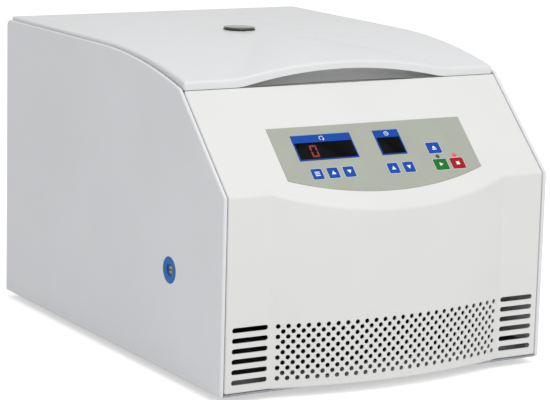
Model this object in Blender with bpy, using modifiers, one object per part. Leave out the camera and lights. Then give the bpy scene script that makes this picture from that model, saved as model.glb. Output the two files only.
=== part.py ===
"""Low-speed bench centrifuge: panelled housing, perforated front moulding, hinged lid, swing-out rotor.

Lengths are metres. The machine faces -Y and stands on z = 0. The empty named centrifuge stands in the
middle of the front edge of the base plate, and the pieces are placed from it: x to the right, y to the
back, z up.
"""

import math

import bmesh
import bpy
from mathutils import Matrix, Vector

MM = 0.001

# Shared clearances
CLEAR = 0.3 * MM
OVERRUN = 6 * MM
WELD = 0.001 * MM

# Housing, from the photograph
BODY_WIDTH = 450 * MM
BODY_DEPTH = 600 * MM
FRONT_HEIGHT = 231.3 * MM
RIM_HEIGHT = 368.5 * MM
RIM_RADIUS = 786 * MM
RIM_ARC_END = 320 * MM
SLOPE_DEPTH = 112.5 * MM
SIDE_WALL = 5 * MM
SIDE_EDGE = 2 * MM
REAR_CORNER = 8 * MM
FOOT_HEIGHT = 9 * MM

# Base plate and feet
BASE_WALL = 2.5 * MM
BASE_FLANGE = 16 * MM
BASE_TONGUE = 1 * MM
FOOT_FROM_SIDE = 55 * MM
FOOT_INSET = 60 * MM
FOOT_RADIUS = 17 * MM
FOOT_NECK = 13 * MM
FOOT_STUD = 4 * MM
STUD_REACH = 6 * MM

# Front moulding
MOULD_WALL = 3 * MM
MOULD_SIDE_GAP = 1 * MM
MOULD_BOTTOM = 3 * MM
MOULD_FLANGE = 16 * MM
MOULD_TOP = 109.5 * MM
MOULD_LEDGE = 2.2 * MM
BULGE_HALF = 161 * MM
BULGE_OUT = 24 * MM
VENT_HOLE = 5.2 * MM
VENT_PITCH = 12.3 * MM
VENT_ROW_PITCH = 6.15 * MM
VENT_TOP_ROW = 77.4 * MM
VENT_ROWS = 11
VENT_HALF_COLUMNS = 25
HOLE_SIDES = 5
LOUVRE_FROM_BULGE = 2.5 * MM
LOUVRE_FROM_SIDE = 8 * MM
LOUVRE_HEIGHT = 5.4 * MM
LOUVRE_ROWS = 6

# Top deck
DECK_DROP = 33.5 * MM
DECK_WALL = 2 * MM
DECK_FLANGE = 12 * MM
GUTTER_DEPTH = 15 * MM
GUTTER_BACK = 139 * MM
GUTTER_LIP = 1 * MM
DECK_SLOT_X = 14 * MM
DECK_SLOT_FRONT = 148 * MM
DECK_SLOT_BACK = 158 * MM

# Rear panel
REAR_WALL = 3 * MM
REAR_GAP = 10 * MM
OUTLET_FROM_SIDE = 75 * MM
OUTLET_LOW = 210 * MM
OUTLET_HEIGHT = 46 * MM
OUTLET_WIDTH = 5 * MM
OUTLET_PITCH = 15 * MM
OUTLET_SLOTS = 7

# Rotor chamber
CHAMBER_SIDE = 15 * MM
CHAMBER_FRONT = 165 * MM
CHAMBER_REAR = 25 * MM
BOWL_RIM = 15 * MM
BOWL_WALL = 2 * MM
BOWL_DEPTH = 162 * MM
BOWL_FILLET = 22 * MM
BOWL_HOLE = 28 * MM
BOWL_SIDES = 24
GASKET_FROM_BOWL = 5 * MM
GASKET_FROM_RIM = 2 * MM
GASKET_CROWN = 2 * MM
GUARD_GAP = 3 * MM
GUARD_WALL = 6 * MM
GUARD_RISE = 12 * MM

# Motor
PLATE_LOW = 32 * MM
PLATE_WALL = 5 * MM
PLATE_X = 100 * MM
PLATE_Y = 90 * MM
PLATE_CORNER = 18 * MM
PLATE_BORE = 30 * MM
MOUNT_X = 80 * MM
MOUNT_Y = 70 * MM
MOUNT_RADIUS = 13 * MM
MOUNT_WAIST = 9 * MM
MOTOR_RADIUS = 60 * MM
MOTOR_DROP = 33 * MM
MOTOR_BELL = 14 * MM
MOTOR_BOSS = 22 * MM
BOSS_HEIGHT = 6 * MM
MOTOR_BAND = 3 * MM
SHAFT_RADIUS = 8 * MM
SHAFT_DEPTH = 40 * MM
BOOT_INNER = 12 * MM
BOOT_WALL = 3.5 * MM
BOOT_LIP = 3.3 * MM
BOOT_LIP_WALL = 2.5 * MM
BOOT_CROWN = 7 * MM
MOTOR_SIDES = 14

# Swing-out rotor
PIVOT_DROP = 45 * MM
PIVOT_RADIUS = 82 * MM
BUCKETS = 4
HUB_RADIUS = 28 * MM
HUB_BELOW = 26 * MM
HUB_ABOVE = 13 * MM
ARM_HALF = 11 * MM
ARM_BELOW = 10 * MM
ARM_ABOVE = 9 * MM
ARM_ROOT = 15 * MM
ARM_NECK = 52 * MM
HEAD_GAP = 1 * MM
HEAD_THICK = 12 * MM
HEAD_HALF = 6 * MM
PIN_RADIUS = 4 * MM
PIN_GAP = 1 * MM
NUT_RADIUS = 13 * MM
NUT_HEIGHT = 9 * MM
NUT_DOME = 9 * MM
BUCKET_RADIUS = 33 * MM
BUCKET_WALL = 2 * MM
SWING_GAP = 13 * MM
BUCKET_ABOVE = 25 * MM
BUCKET_ROUND = 12 * MM
BUCKET_LIP = 2 * MM
BUCKET_LIP_HEIGHT = 4 * MM
BUCKET_SIDES = 14
BOSS_OUT = 5.5 * MM
BOSS_HALF = 9 * MM
BOSS_ABOVE = 10 * MM
BOSS_BELOW = 12 * MM
BOSS_SINK = 1.8 * MM

# Lid
LID_GAP = 2 * MM
LID_FRONT = 112.4 * MM
LID_PROUD = 4 * MM
LID_WALL = 2.5 * MM
LID_ROUND = 2.5 * MM
LID_SIDE_SKIRT = 10 * MM
LID_LIP = 5.8 * MM
LID_REAR_SKIRT = 12.5 * MM
ARCH_HALF = 142 * MM
ARCH_RISE = 16.5 * MM
HUMP_HALF = 148 * MM
HUMP_RISE = 20 * MM
HUMP_TO_WINDOW = 52.6 * MM
HUMP_NARROW = 26 * MM
LID_SEAT = 0.7 * MM
LINER_REACH = 3 * MM
LINER_RISE = 10 * MM
LINER_WALL = 2 * MM
WINDOW_HEAD = 20.5 * MM
WINDOW_SHANK = 17.5 * MM
WINDOW_PROUD = 2.2 * MM
WINDOW_ROUND = 0.8 * MM
RING_WALL = 1 * MM
WINDOW_SIDES = 20

# Hinges
HINGE_FROM_REAR = 12 * MM
HINGE_DROP = 6.5 * MM
HINGE_FROM_SIDE = 75 * MM
HINGE_HALF = 15 * MM
KNUCKLE_HALF = 6.5 * MM
KNUCKLE_RADIUS = 5.5 * MM
KNUCKLE_GAP = 0.5 * MM
HINGE_PIN = 2.5 * MM
PIN_HEAD = 4 * MM
PIN_HEAD_WALL = 1.5 * MM
LEAF_WALL = 3 * MM
LEAF_REACH = 36 * MM
LEAF_GAP = 6 * MM
HINGE_FOOT_REACH = 32 * MM
WEB_REACH = 9 * MM
WEB_GAP = 3 * MM

# Lid lock
STRIKER_FRONT = 153 * MM
STRIKER_WALL = 3 * MM
STRIKER_HALF = 12 * MM
STRIKER_DROP = 35 * MM
STRIKER_PAD = 25 * MM
STRIKER_PAD_WALL = 4 * MM
STRIKER_PAD_REACH = 3 * MM
NOTCH_DEPTH = 11 * MM
BOLT_TRAVEL = 8 * MM
BOLT_LENGTH = 34 * MM
BOLT_HEIGHT = 8 * MM
BOLT_WIDTH = 9 * MM
BOLT_DROP = 24 * MM
BOLT_EDGE = 1 * MM
BOLT_FREE = 1 * MM
BOLT_SHORT = 1.5 * MM
LOCK_HALF = 35 * MM
LOCK_FRONT = 143.5 * MM
LOCK_BACK = 168 * MM
LOCK_DROP = 63 * MM
LOCK_POCKET = 39 * MM
LOCK_EDGE = 1 * MM

# Emergency release on the left panel
RELEASE_Y = 128.4 * MM
RELEASE_Z = 123.6 * MM
RELEASE_RADIUS = 16 * MM
RELEASE_BORE = 7 * MM
RELEASE_LENGTH = 12 * MM
RELEASE_HUB = 11 * MM
SPINDLE_RADIUS = 5 * MM
SPINDLE_LENGTH = 30 * MM
SPINDLE_SUNK = 2 * MM
SPINDLE_SLOT = 1.4 * MM
SPINDLE_SLOT_DEPTH = 2 * MM
SPINDLE_COLLAR = 9 * MM

# Control panel on the slope
OVERLAY_HALF = 135 * MM
OVERLAY_TOP = 91.5 * MM
OVERLAY_SIDE = 17 * MM
OVERLAY_DIP = 24 * MM
OVERLAY_WALL = 0.8 * MM
OVERLAY_RECESS = 0.8 * MM
KEY_WIDTH = 14.2 * MM
KEY_HEIGHT = 14.3 * MM
WIDE_KEY_WIDTH = 18.3 * MM
WIDE_KEY_HEIGHT = 15.4 * MM
KEY_ROUND = 0.6 * MM
KEY_TRAVEL = 0.5 * MM
KEY_GAP = 0.3 * MM
KEY_ROW = 23.5 * MM
OPEN_ROW = 48.1 * MM
SET_FROM_EDGE = 42 * MM
KEY_PITCH = 21.8 * MM
TIME_UP_X = 12 * MM
STOP_FROM_EDGE = 31.2 * MM
WIDE_KEY_PITCH = 23.8 * MM
WINDOW_ROW = 61 * MM
WINDOW_HEIGHT = 36 * MM
SPEED_WINDOW_FROM_EDGE = 67.5 * MM
SPEED_WINDOW_WIDTH = 81 * MM
TIME_WINDOW_X = 23 * MM
TIME_WINDOW_WIDTH = 35 * MM
GLASS_WALL = 1 * MM
GLASS_BORDER = 5 * MM
LAMP_ROW = 35.4 * MM
LAMP_RADIUS = 2.5 * MM
LAMP_PROUD = 0.9 * MM
LAMP_SIDES = 12
BOARD_DROP = 8.3 * MM
BOARD_WALL = 1.6 * MM
BOARD_SIDE = 13 * MM
BOARD_LOW = 8 * MM
BOARD_TOP_EDGE = 5.5 * MM
BOARD_POST = 4 * MM
BOARD_POST_INSET = 6 * MM

# Power inlet and switch on the rear panel
INLET_FROM_SIDE = 75 * MM
INLET_Z = 70 * MM
INLET_WIDTH = 50 * MM
INLET_HEIGHT = 64 * MM
INLET_FLANGE = 3.2 * MM
INLET_BODY_WIDTH = 44 * MM
INLET_BODY_HEIGHT = 56 * MM
INLET_BODY_DEPTH = 30 * MM
INLET_CORNER = 6 * MM
SOCKET_Z = 55 * MM
SOCKET_WIDTH = 25 * MM
SOCKET_HEIGHT = 17 * MM
SOCKET_DEPTH = 18 * MM
BLADE_LENGTH = 14 * MM
BLADE_WIDTH = 4 * MM
BLADE_THICK = 2 * MM
BLADE_PITCH = 7 * MM
BLADE_RISE = 2 * MM
SWITCH_Z = 86 * MM
ROCKER_WIDTH = 14 * MM
ROCKER_HEIGHT = 20 * MM
ROCKER_DEPTH = 8 * MM
ROCKER_FACE = 4 * MM
ROCKER_GAP = 0.8 * MM
ROCKER_TILT = math.radians(7)
ROCKER_PIVOT_IN = 2 * MM

# Drive electronics on the base
DRIVE_FROM_SIDE = 80 * MM
DRIVE_Y = 125 * MM
DRIVE_WIDTH = 110 * MM
DRIVE_LENGTH = 140 * MM
DRIVE_STANDOFF = 10 * MM
DRIVE_POST = 5 * MM
DRIVE_POST_INSET = 8 * MM
DRIVE_WALL = 1.8 * MM
CAPACITOR_RADIUS = 12 * MM
CAPACITOR_HEIGHT = 36 * MM
CAPACITOR_EDGE = 18 * MM
CAPACITOR_PITCH = 30 * MM
CAPACITORS = 2
COIL_WIDTH = 46 * MM
COIL_HEIGHT = 38 * MM
SINK_WIDTH = 50 * MM
SINK_LENGTH = 40 * MM
SINK_BASE = 5 * MM
SINK_HEIGHT = 24 * MM
SINK_FIN = 2.5 * MM
SINK_FINS = 5

# Worked out from the sizes above
HALF_WIDTH = BODY_WIDTH / 2
INNER_HALF = HALF_WIDTH - SIDE_WALL
FITTED_HALF = INNER_HALF - CLEAR
MOULD_HALF = INNER_HALF - MOULD_SIDE_GAP
LID_HALF = INNER_HALF - LID_GAP
REAR_REACH = CLEAR + INLET_FLANGE
FRONT_Y = (BULGE_OUT - BODY_DEPTH - REAR_REACH) / 2
REAR_INSIDE = BODY_DEPTH - REAR_WALL - CLEAR
FOOT_X = HALF_WIDTH - FOOT_FROM_SIDE
BULGE_RADIUS = (BULGE_HALF**2 + BULGE_OUT**2) / (2 * BULGE_OUT)
LOUVRE_INNER = BULGE_HALF + LOUVRE_FROM_BULGE
LOUVRE_OUTER = MOULD_HALF - LOUVRE_FROM_SIDE
OUTLET_X = HALF_WIDTH - OUTLET_FROM_SIDE
INLET_X = HALF_WIDTH - INLET_FROM_SIDE
DRIVE_X = HALF_WIDTH - DRIVE_FROM_SIDE

# Heights that follow the rim
DECK_TOP = RIM_HEIGHT - DECK_DROP
GUTTER_FLOOR = DECK_TOP - GUTTER_DEPTH
FLANGE_LOW = DECK_TOP + CLEAR
FLANGE_TOP = FLANGE_LOW + BOWL_WALL
BOWL_FLOOR = DECK_TOP - BOWL_DEPTH
BOWL_FLOOR_TOP = BOWL_FLOOR + BOWL_WALL
MOTOR_TOP = BOWL_FLOOR - MOTOR_DROP
BOSS_TOP = MOTOR_TOP + BOSS_HEIGHT
PLATE_TOP = PLATE_LOW + PLATE_WALL
GUARD_LOW = BOWL_FLOOR + GUARD_RISE
PIVOT_Z = DECK_TOP - PIVOT_DROP
HUB_LOW = PIVOT_Z - HUB_BELOW
HUB_TOP = PIVOT_Z + HUB_ABOVE
LID_TOP = RIM_HEIGHT + LID_PROUD
LID_REAR_EDGE = LID_TOP - LID_REAR_SKIRT
REAR_TOP = LID_REAR_EDGE - REAR_GAP
LINER_LOW = DECK_TOP + LINER_RISE
BOLT_Z = DECK_TOP - BOLT_DROP

# The largest bowl that the body takes, and what turns in it
WIDEST_BOWL = INNER_HALF - CHAMBER_SIDE
DEEPEST_BOWL = (BODY_DEPTH - CHAMBER_FRONT - CHAMBER_REAR) / 2
BOWL_FLANGE = min(WIDEST_BOWL, DEEPEST_BOWL)
BOWL_RADIUS = BOWL_FLANGE - BOWL_RIM
AXIS_Y = BODY_DEPTH - CHAMBER_REAR - BOWL_FLANGE
BUCKET_BELOW = BOWL_RADIUS - BOWL_WALL - SWING_GAP - PIVOT_RADIUS
LINER_RADIUS = BOWL_FLANGE + LINER_REACH
HUMP_LENGTH = AXIS_Y - HUMP_TO_WINDOW - LID_FRONT

# Hinges
HINGE_X = HALF_WIDTH - HINGE_FROM_SIDE
HINGE_Y = BODY_DEPTH - HINGE_FROM_REAR
HINGE_Z = RIM_HEIGHT - HINGE_DROP
LEAF_BACK = HINGE_Y - LEAF_GAP

# Places across the control panel
SET_X = SET_FROM_EDGE - OVERLAY_HALF
SPEED_UP_X = SET_X + KEY_PITCH
SPEED_DOWN_X = SPEED_UP_X + KEY_PITCH
TIME_DOWN_X = TIME_UP_X + KEY_PITCH
STOP_X = OVERLAY_HALF - STOP_FROM_EDGE
START_X = STOP_X - WIDE_KEY_PITCH
SPEED_WINDOW_X = SPEED_WINDOW_FROM_EDGE - OVERLAY_HALF
BOARD_HALF = OVERLAY_HALF - BOARD_SIDE
BOARD_HIGH = OVERLAY_TOP - BOARD_TOP_EDGE
BOARD_TOP = -BOARD_DROP

# Which way an outline's third axis runs
ALONG_X = Matrix(((0, 0, 1, 0), (1, 0, 0, 0), (0, 1, 0, 0), (0, 0, 0, 1)))
ALONG_Y = Matrix(((1, 0, 0, 0), (0, 0, 1, 0), (0, 1, 0, 0), (0, 0, 0, 1)))


def rim(y):
    """Height of the side panel's top edge: flat at the back, an arc that falls to the slope in front."""
    ahead = max(0, RIM_ARC_END - y)
    return RIM_HEIGHT - RIM_RADIUS + math.sqrt(RIM_RADIUS**2 - ahead**2)


SLOPE = math.atan2(rim(SLOPE_DEPTH) - FRONT_HEIGHT, SLOPE_DEPTH)
SLOPE_NORMAL = Vector((0, -math.sin(SLOPE), math.cos(SLOPE)))


def slope_height(y, drop=0):
    """Height of the sloping front at y, or of the face that lies drop inside it."""
    return FRONT_HEIGHT + y * math.tan(SLOPE) - drop / math.cos(SLOPE)


def clear_scene():
    for item in list(bpy.data.objects):
        bpy.data.objects.remove(item, do_unlink=True)


def new_collection(name):
    made = bpy.data.collections.new(name)
    bpy.context.scene.collection.children.link(made)
    return made


def material(name, colour, roughness, metallic=0):
    made = bpy.data.materials.new(name)
    made.use_nodes = True
    shader = made.node_tree.nodes["Principled BSDF"]
    shader.inputs["Base Color"].default_value = (*colour, 1)
    shader.inputs["Roughness"].default_value = roughness
    shader.inputs["Metallic"].default_value = metallic
    made.diffuse_color = (*colour, 1)
    return made


clear_scene()
PIECES = new_collection("low_speed_centrifuge")
HELPERS = new_collection("cutters")

CREAM = material("cream_enamel", (0.84, 0.83, 0.80), 0.42)
PALE_GREY = material("pale_grey_plastic", (0.66, 0.69, 0.71), 0.38)
IVORY = material("ivory_moulding", (0.86, 0.85, 0.80), 0.4)
PANEL_GREEN = material("grey_green_overlay", (0.42, 0.45, 0.38), 0.5)
BLUE = material("blue_plastic", (0.02, 0.08, 0.42), 0.35)
GREEN = material("green_key", (0.02, 0.26, 0.05), 0.4)
RED = material("red_key", (0.52, 0.01, 0.02), 0.4)
BLACK = material("black_plastic", (0.02, 0.02, 0.022), 0.4)
RUBBER = material("black_rubber", (0.03, 0.03, 0.03), 0.85)
STEEL = material("bright_steel", (0.6, 0.6, 0.6), 0.3, 1)
ZINC = material("zinc_sheet", (0.45, 0.46, 0.47), 0.45, 1)
ALUMINIUM = material("cast_aluminium", (0.62, 0.62, 0.63), 0.4, 1)
BRASS = material("brass", (0.56, 0.40, 0.14), 0.3, 1)
GLASS = material("olive_glass", (0.10, 0.11, 0.07), 0.08)
BOARD = material("green_board", (0.03, 0.16, 0.07), 0.5)


def frame(name, at, parent=None, turn=(0, 0, 0)):
    """An empty that pieces are placed from. On a moving piece it lies on the joint's axis."""
    made = bpy.data.objects.new(name, None)
    made.empty_display_size = OVERRUN
    made.location = at
    made.rotation_euler = turn
    made.parent = parent
    PIECES.objects.link(made)
    return made


ROOT = frame("centrifuge", (0, FRONT_Y, FOOT_HEIGHT))
SLOPE_FRAME = frame("slope", (0, 0, FRONT_HEIGHT), ROOT, (SLOPE, 0, 0))
LID_FRAME = frame("lid_axis", (0, HINGE_Y, HINGE_Z), ROOT)
ROTOR_FRAME = frame("rotor_axis", (0, AXIS_Y, 0), ROOT)


def place(bm, name, look=None, parent=ROOT, at=(0, 0, 0), from_root=False, weld=True):
    """Puts a mesh in the scene. With a look it is a piece, and without one it is a cutter or an addition."""
    if weld:
        bmesh.ops.remove_doubles(bm, verts=bm.verts, dist=WELD)
        bmesh.ops.recalc_face_normals(bm, faces=bm.faces)
    mesh = bpy.data.meshes.new(name)
    bm.to_mesh(mesh)
    bm.free()
    made = bpy.data.objects.new(name, mesh)
    made.location = at
    made.parent = parent
    if from_root:
        made.matrix_parent_inverse = parent.matrix_basis.inverted()
    if look:
        mesh.materials.append(look)
        PIECES.objects.link(made)
    else:
        HELPERS.objects.link(made)
        made.hide_render = True
        made.display_type = "WIRE"
    mesh.shade_smooth()
    mesh.set_sharp_from_angle(angle=math.radians(35))
    return made


def boolean(item, other, operation):
    step = item.modifiers.new(operation.lower(), "BOOLEAN")
    step.operation = operation
    step.object = other
    step.solver = "EXACT"


def cut(item, *cutters):
    for cutter in cutters:
        boolean(item, cutter, "DIFFERENCE")


def join(item, *additions):
    for addition in additions:
        boolean(item, addition, "UNION")


def bevel(item, width, segments=2, angle=50):
    step = item.modifiers.new("edges", "BEVEL")
    step.width = width
    step.segments = segments
    step.limit_method = "ANGLE"
    step.angle_limit = math.radians(angle)


def block(x, y, z):
    """A box between the low and high values of each axis."""
    bm = bmesh.new()
    bmesh.ops.create_cube(bm, size=1)
    sizes = [high - low for low, high in (x, y, z)]
    middle = [(low + high) / 2 for low, high in (x, y, z)]
    bmesh.ops.scale(bm, vec=sizes, verts=bm.verts)
    bmesh.ops.translate(bm, vec=middle, verts=bm.verts)
    return bm


def rod(radius, low, high, sides, axis="Z", centre=(0, 0), top_radius=None):
    """A cylinder or cone along an axis, with its centre line at the two other coordinates."""
    bm = bmesh.new()
    far = radius if top_radius is None else top_radius
    bmesh.ops.create_cone(
        bm, cap_ends=True, segments=sides, radius1=radius, radius2=far, depth=high - low
    )
    bmesh.ops.translate(bm, vec=(0, 0, (low + high) / 2), verts=bm.verts)
    a, b = centre
    if axis == "X":
        bmesh.ops.transform(bm, matrix=ALONG_X, verts=bm.verts)
        bmesh.ops.translate(bm, vec=(0, a, b), verts=bm.verts)
    elif axis == "Y":
        bmesh.ops.transform(bm, matrix=ALONG_Y, verts=bm.verts)
        bmesh.ops.translate(bm, vec=(a, 0, b), verts=bm.verts)
    else:
        bmesh.ops.translate(bm, vec=(a, b, 0), verts=bm.verts)
    return bm


def slab(outline, low, high, direction=None):
    """A flat outline with a thickness from low to high, made from a filled 2D curve."""
    curve = bpy.data.curves.new("outline", "CURVE")
    curve.dimensions = "2D"
    curve.fill_mode = "BOTH"
    curve.extrude = (high - low) / 2
    spline = curve.splines.new("POLY")
    spline.points.add(len(outline) - 1)
    for point, (a, b) in zip(spline.points, outline):
        point.co = (a, b, 0, 1)
    spline.use_cyclic_u = True
    drawn = bpy.data.objects.new("outline", curve)
    HELPERS.objects.link(drawn)
    graph = bpy.context.evaluated_depsgraph_get()
    mesh = bpy.data.meshes.new_from_object(drawn.evaluated_get(graph))
    bm = bmesh.new()
    bm.from_mesh(mesh)
    bpy.data.objects.remove(drawn, do_unlink=True)
    bpy.data.meshes.remove(mesh)
    bmesh.ops.remove_doubles(bm, verts=bm.verts, dist=WELD)
    bmesh.ops.dissolve_limit(
        bm, angle_limit=math.radians(0.1), verts=bm.verts, edges=bm.edges
    )
    bmesh.ops.translate(bm, vec=(0, 0, (low + high) / 2), verts=bm.verts)
    if direction:
        bmesh.ops.transform(bm, matrix=direction, verts=bm.verts)
    return bm


def turned(profile, sides, closed=True):
    """A profile of radius and height, and the number of sides it is turned with."""
    loop = profile + profile[:1]
    area = sum(r1 * z2 - r2 * z1 for (r1, z1), (r2, z2) in zip(loop, loop[1:]))
    points = profile if area < 0 else profile[::-1]
    bm = bmesh.new()
    verts = [bm.verts.new((r, 0, z)) for r, z in points]
    for first, second in zip(verts, verts[1:]):
        bm.edges.new((first, second))
    if closed:
        bm.edges.new((verts[-1], verts[0]))
    return bm, sides


def place_turned(shape, name, look=None, parent=ROOT, at=(0, 0, 0), from_root=False):
    bm, sides = shape
    made = place(bm, name, look, parent, at, from_root, weld=False)
    step = made.modifiers.new("turn", "SCREW")
    step.axis = "Z"
    step.steps = sides
    step.render_steps = sides
    step.use_merge_vertices = True
    step.merge_threshold = WELD
    step.use_smooth_shade = False
    return made


def arc(centre, radius, start, end, steps):
    """Points on an arc in degrees, from start to end."""
    points = []
    for i in range(steps + 1):
        angle = math.radians(start + (end - start) * i / steps)
        points.append(
            (centre[0] + radius * math.cos(angle), centre[1] + radius * math.sin(angle))
        )
    return points


def stadium(left, right, height, centre):
    """Outline of a slot with round ends."""
    radius = height / 2
    ends = arc((right - radius, centre), radius, -90, 90, 3)
    return ends + arc((left + radius, centre), radius, 90, 270, 3)


def rounded_rectangle(width, height, radius, centre=(0, 0), steps=3):
    a, b = width / 2 - radius, height / 2 - radius
    x, y = centre
    outline = []
    for i, (sign_x, sign_y) in enumerate(((1, 1), (-1, 1), (-1, -1), (1, -1))):
        corner = (x + sign_x * a, y + sign_y * b)
        outline += arc(corner, radius, 90 * i, 90 * i + 90, steps)
    return outline


def merged(shapes):
    """Several separate shapes as one mesh, to cut them all at once."""
    whole = bmesh.new()
    for bm in shapes:
        mesh = bpy.data.meshes.new("shape")
        bmesh.ops.recalc_face_normals(bm, faces=bm.faces)
        bm.to_mesh(mesh)
        bm.free()
        whole.from_mesh(mesh)
        bpy.data.meshes.remove(mesh)
    return whole


# Housing


def side_outline():
    outline = [(0, 0), (0, FRONT_HEIGHT)]
    steps = 9
    for i in range(steps + 1):
        y = SLOPE_DEPTH + (RIM_ARC_END - SLOPE_DEPTH) * i / steps
        outline.append((y, rim(y)))
    corner = (BODY_DEPTH - REAR_CORNER, RIM_HEIGHT - REAR_CORNER)
    outline += arc(corner, REAR_CORNER, 90, 0, 3)
    outline.append((BODY_DEPTH, 0))
    return outline


def side_panels():
    left = place(
        slab(side_outline(), -HALF_WIDTH, -INNER_HALF, ALONG_X), "left_side_panel", CREAM
    )
    right = place(
        slab(side_outline(), INNER_HALF, HALF_WIDTH, ALONG_X), "right_side_panel", CREAM
    )
    bevel(left, SIDE_EDGE)
    bevel(right, SIDE_EDGE)
    bore = rod(
        RELEASE_RADIUS + CLEAR,
        -HALF_WIDTH - OVERRUN,
        -INNER_HALF + OVERRUN,
        20,
        "X",
        (RELEASE_Y, RELEASE_Z),
    )
    cut(left, place(bore, "release_bore"))


def foot_places():
    return [
        (x, y)
        for y in (FOOT_INSET, BODY_DEPTH - FOOT_INSET)
        for x in (-FOOT_X, FOOT_X)
    ]


def base_plate():
    back_of_moulding = MOULD_FLANGE + CLEAR
    base = place(
        block(
            (-FITTED_HALF, FITTED_HALF), (back_of_moulding, REAR_INSIDE), (0, BASE_FLANGE)
        ),
        "base_plate",
        ZINC,
    )
    hollow = block(
        (-FITTED_HALF + BASE_WALL, FITTED_HALF - BASE_WALL),
        (back_of_moulding + BASE_WALL, REAR_INSIDE - BASE_WALL),
        (BASE_WALL, BASE_FLANGE + OVERRUN),
    )
    cut(base, place(hollow, "base_hollow"))
    tongue = block(
        (-FITTED_HALF, FITTED_HALF),
        (BASE_TONGUE, back_of_moulding + BASE_WALL),
        (0, BASE_WALL),
    )
    posts = merged(
        rod(DRIVE_POST, BASE_WALL / 2, BASE_WALL + DRIVE_STANDOFF, 8, centre=spot)
        for spot in drive_posts()
    )
    join(base, place(tongue, "base_tongue"), place(posts, "drive_posts"))
    holes = merged(
        rod(FOOT_STUD + CLEAR, -OVERRUN, BASE_WALL + OVERRUN, 8, centre=spot)
        for spot in foot_places()
    )
    cut(base, place(holes, "foot_holes"))


def feet():
    profile = [
        (0, STUD_REACH),
        (FOOT_STUD, STUD_REACH),
        (FOOT_STUD, -CLEAR),
        (FOOT_NECK, -CLEAR),
        (FOOT_RADIUS, -FOOT_HEIGHT / 2),
        (FOOT_RADIUS, -FOOT_HEIGHT),
        (0, -FOOT_HEIGHT),
    ]
    names = ("foot_front_left", "foot_front_right", "foot_rear_left", "foot_rear_right")
    for name, (x, y) in zip(names, foot_places()):
        place_turned(turned(profile, 10, closed=False), name, RUBBER, at=(x, y, 0))


def bulge_outline(inset):
    """The bulge seen from above. Its facets are half a hole pitch wide, so each hole lies in one facet."""
    radius = BULGE_RADIUS - inset
    centre = BULGE_RADIUS - BULGE_OUT
    end = math.acos((centre - inset) / radius)
    step = VENT_PITCH / 2 / BULGE_RADIUS
    inner = [(k - 0.5) * step for k in range(-VENT_HALF_COLUMNS, VENT_HALF_COLUMNS + 2)]
    angles = [-end] + [angle for angle in inner if abs(angle) < end] + [end]
    outline = [(radius * math.sin(a), centre - radius * math.cos(a)) for a in angles]
    back = MOULD_WALL + MOULD_FLANGE / 2
    return outline + [(outline[-1][0], back), (outline[0][0], back)]


def bulge(inset):
    """The bulge's solid, its top cut off by the slope that runs on over it."""
    low = MOULD_BOTTOM + inset
    bm = slab(bulge_outline(inset), low, FRONT_HEIGHT + BULGE_OUT)
    top = Vector((0, 0, FRONT_HEIGHT)) - SLOPE_NORMAL * inset
    geometry = bm.verts[:] + bm.edges[:] + bm.faces[:]
    sliced = bmesh.ops.bisect_plane(
        bm, geom=geometry, plane_co=top, plane_no=SLOPE_NORMAL, clear_outer=True
    )
    rim_edges = [e for e in sliced["geom_cut"] if isinstance(e, bmesh.types.BMEdge)]
    bmesh.ops.edgenet_fill(bm, edges=rim_edges)
    return bm


def moulding_profile():
    """The front's outline from the side, with its flange turned in all round."""
    ledge = MOULD_TOP + MOULD_LEDGE
    return [
        (0, MOULD_BOTTOM),
        (0, FRONT_HEIGHT),
        (MOULD_TOP, slope_height(MOULD_TOP)),
        (ledge, slope_height(MOULD_TOP)),
        (ledge, slope_height(ledge, MOULD_FLANGE)),
        (MOULD_FLANGE, slope_height(MOULD_FLANGE, MOULD_FLANGE)),
        (MOULD_FLANGE, MOULD_BOTTOM),
    ]


def moulding_hollow():
    ledge = MOULD_TOP + MOULD_LEDGE - MOULD_WALL
    low = MOULD_BOTTOM + MOULD_WALL
    deep = 2 * MOULD_FLANGE
    return [
        (MOULD_WALL, low),
        (MOULD_WALL, slope_height(MOULD_WALL, MOULD_WALL)),
        (ledge, slope_height(ledge, MOULD_WALL)),
        (ledge, slope_height(ledge, deep)),
        (deep, slope_height(deep, deep)),
        (deep, low),
    ]


def vent_holes():
    """Staggered round holes, each square to the bulge's curve."""
    bm = bmesh.new()
    step = VENT_PITCH / 2 / BULGE_RADIUS
    centre = BULGE_RADIUS - BULGE_OUT
    for row in range(VENT_ROWS):
        z = VENT_TOP_ROW - row * VENT_ROW_PITCH
        first = -VENT_HALF_COLUMNS + row % 2
        for column in range(first, VENT_HALF_COLUMNS + 1, 2):
            angle = column * step
            direction = Vector((math.sin(angle), -math.cos(angle), 0))
            middle = Vector((0, centre, z)) + direction * (BULGE_RADIUS - MOULD_WALL / 2)
            turn = direction.to_track_quat("Z", "Y").to_matrix().to_4x4()
            bmesh.ops.create_cone(
                bm,
                cap_ends=True,
                segments=HOLE_SIDES,
                radius1=VENT_HOLE / 2,
                radius2=VENT_HOLE / 2,
                depth=MOULD_WALL * 2,
                matrix=Matrix.Translation(middle) @ turn,
            )
    return bm


def louvres():
    pitch = 2 * VENT_ROW_PITCH
    shapes = []
    for row in range(LOUVRE_ROWS):
        z = VENT_TOP_ROW - row * pitch
        for left, right in (
            (LOUVRE_INNER, LOUVRE_OUTER),
            (-LOUVRE_OUTER, -LOUVRE_INNER),
        ):
            outline = stadium(left, right, LOUVRE_HEIGHT, z)
            shapes.append(slab(outline, -OVERRUN, MOULD_WALL + OVERRUN, ALONG_Y))
    return merged(shapes)


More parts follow.
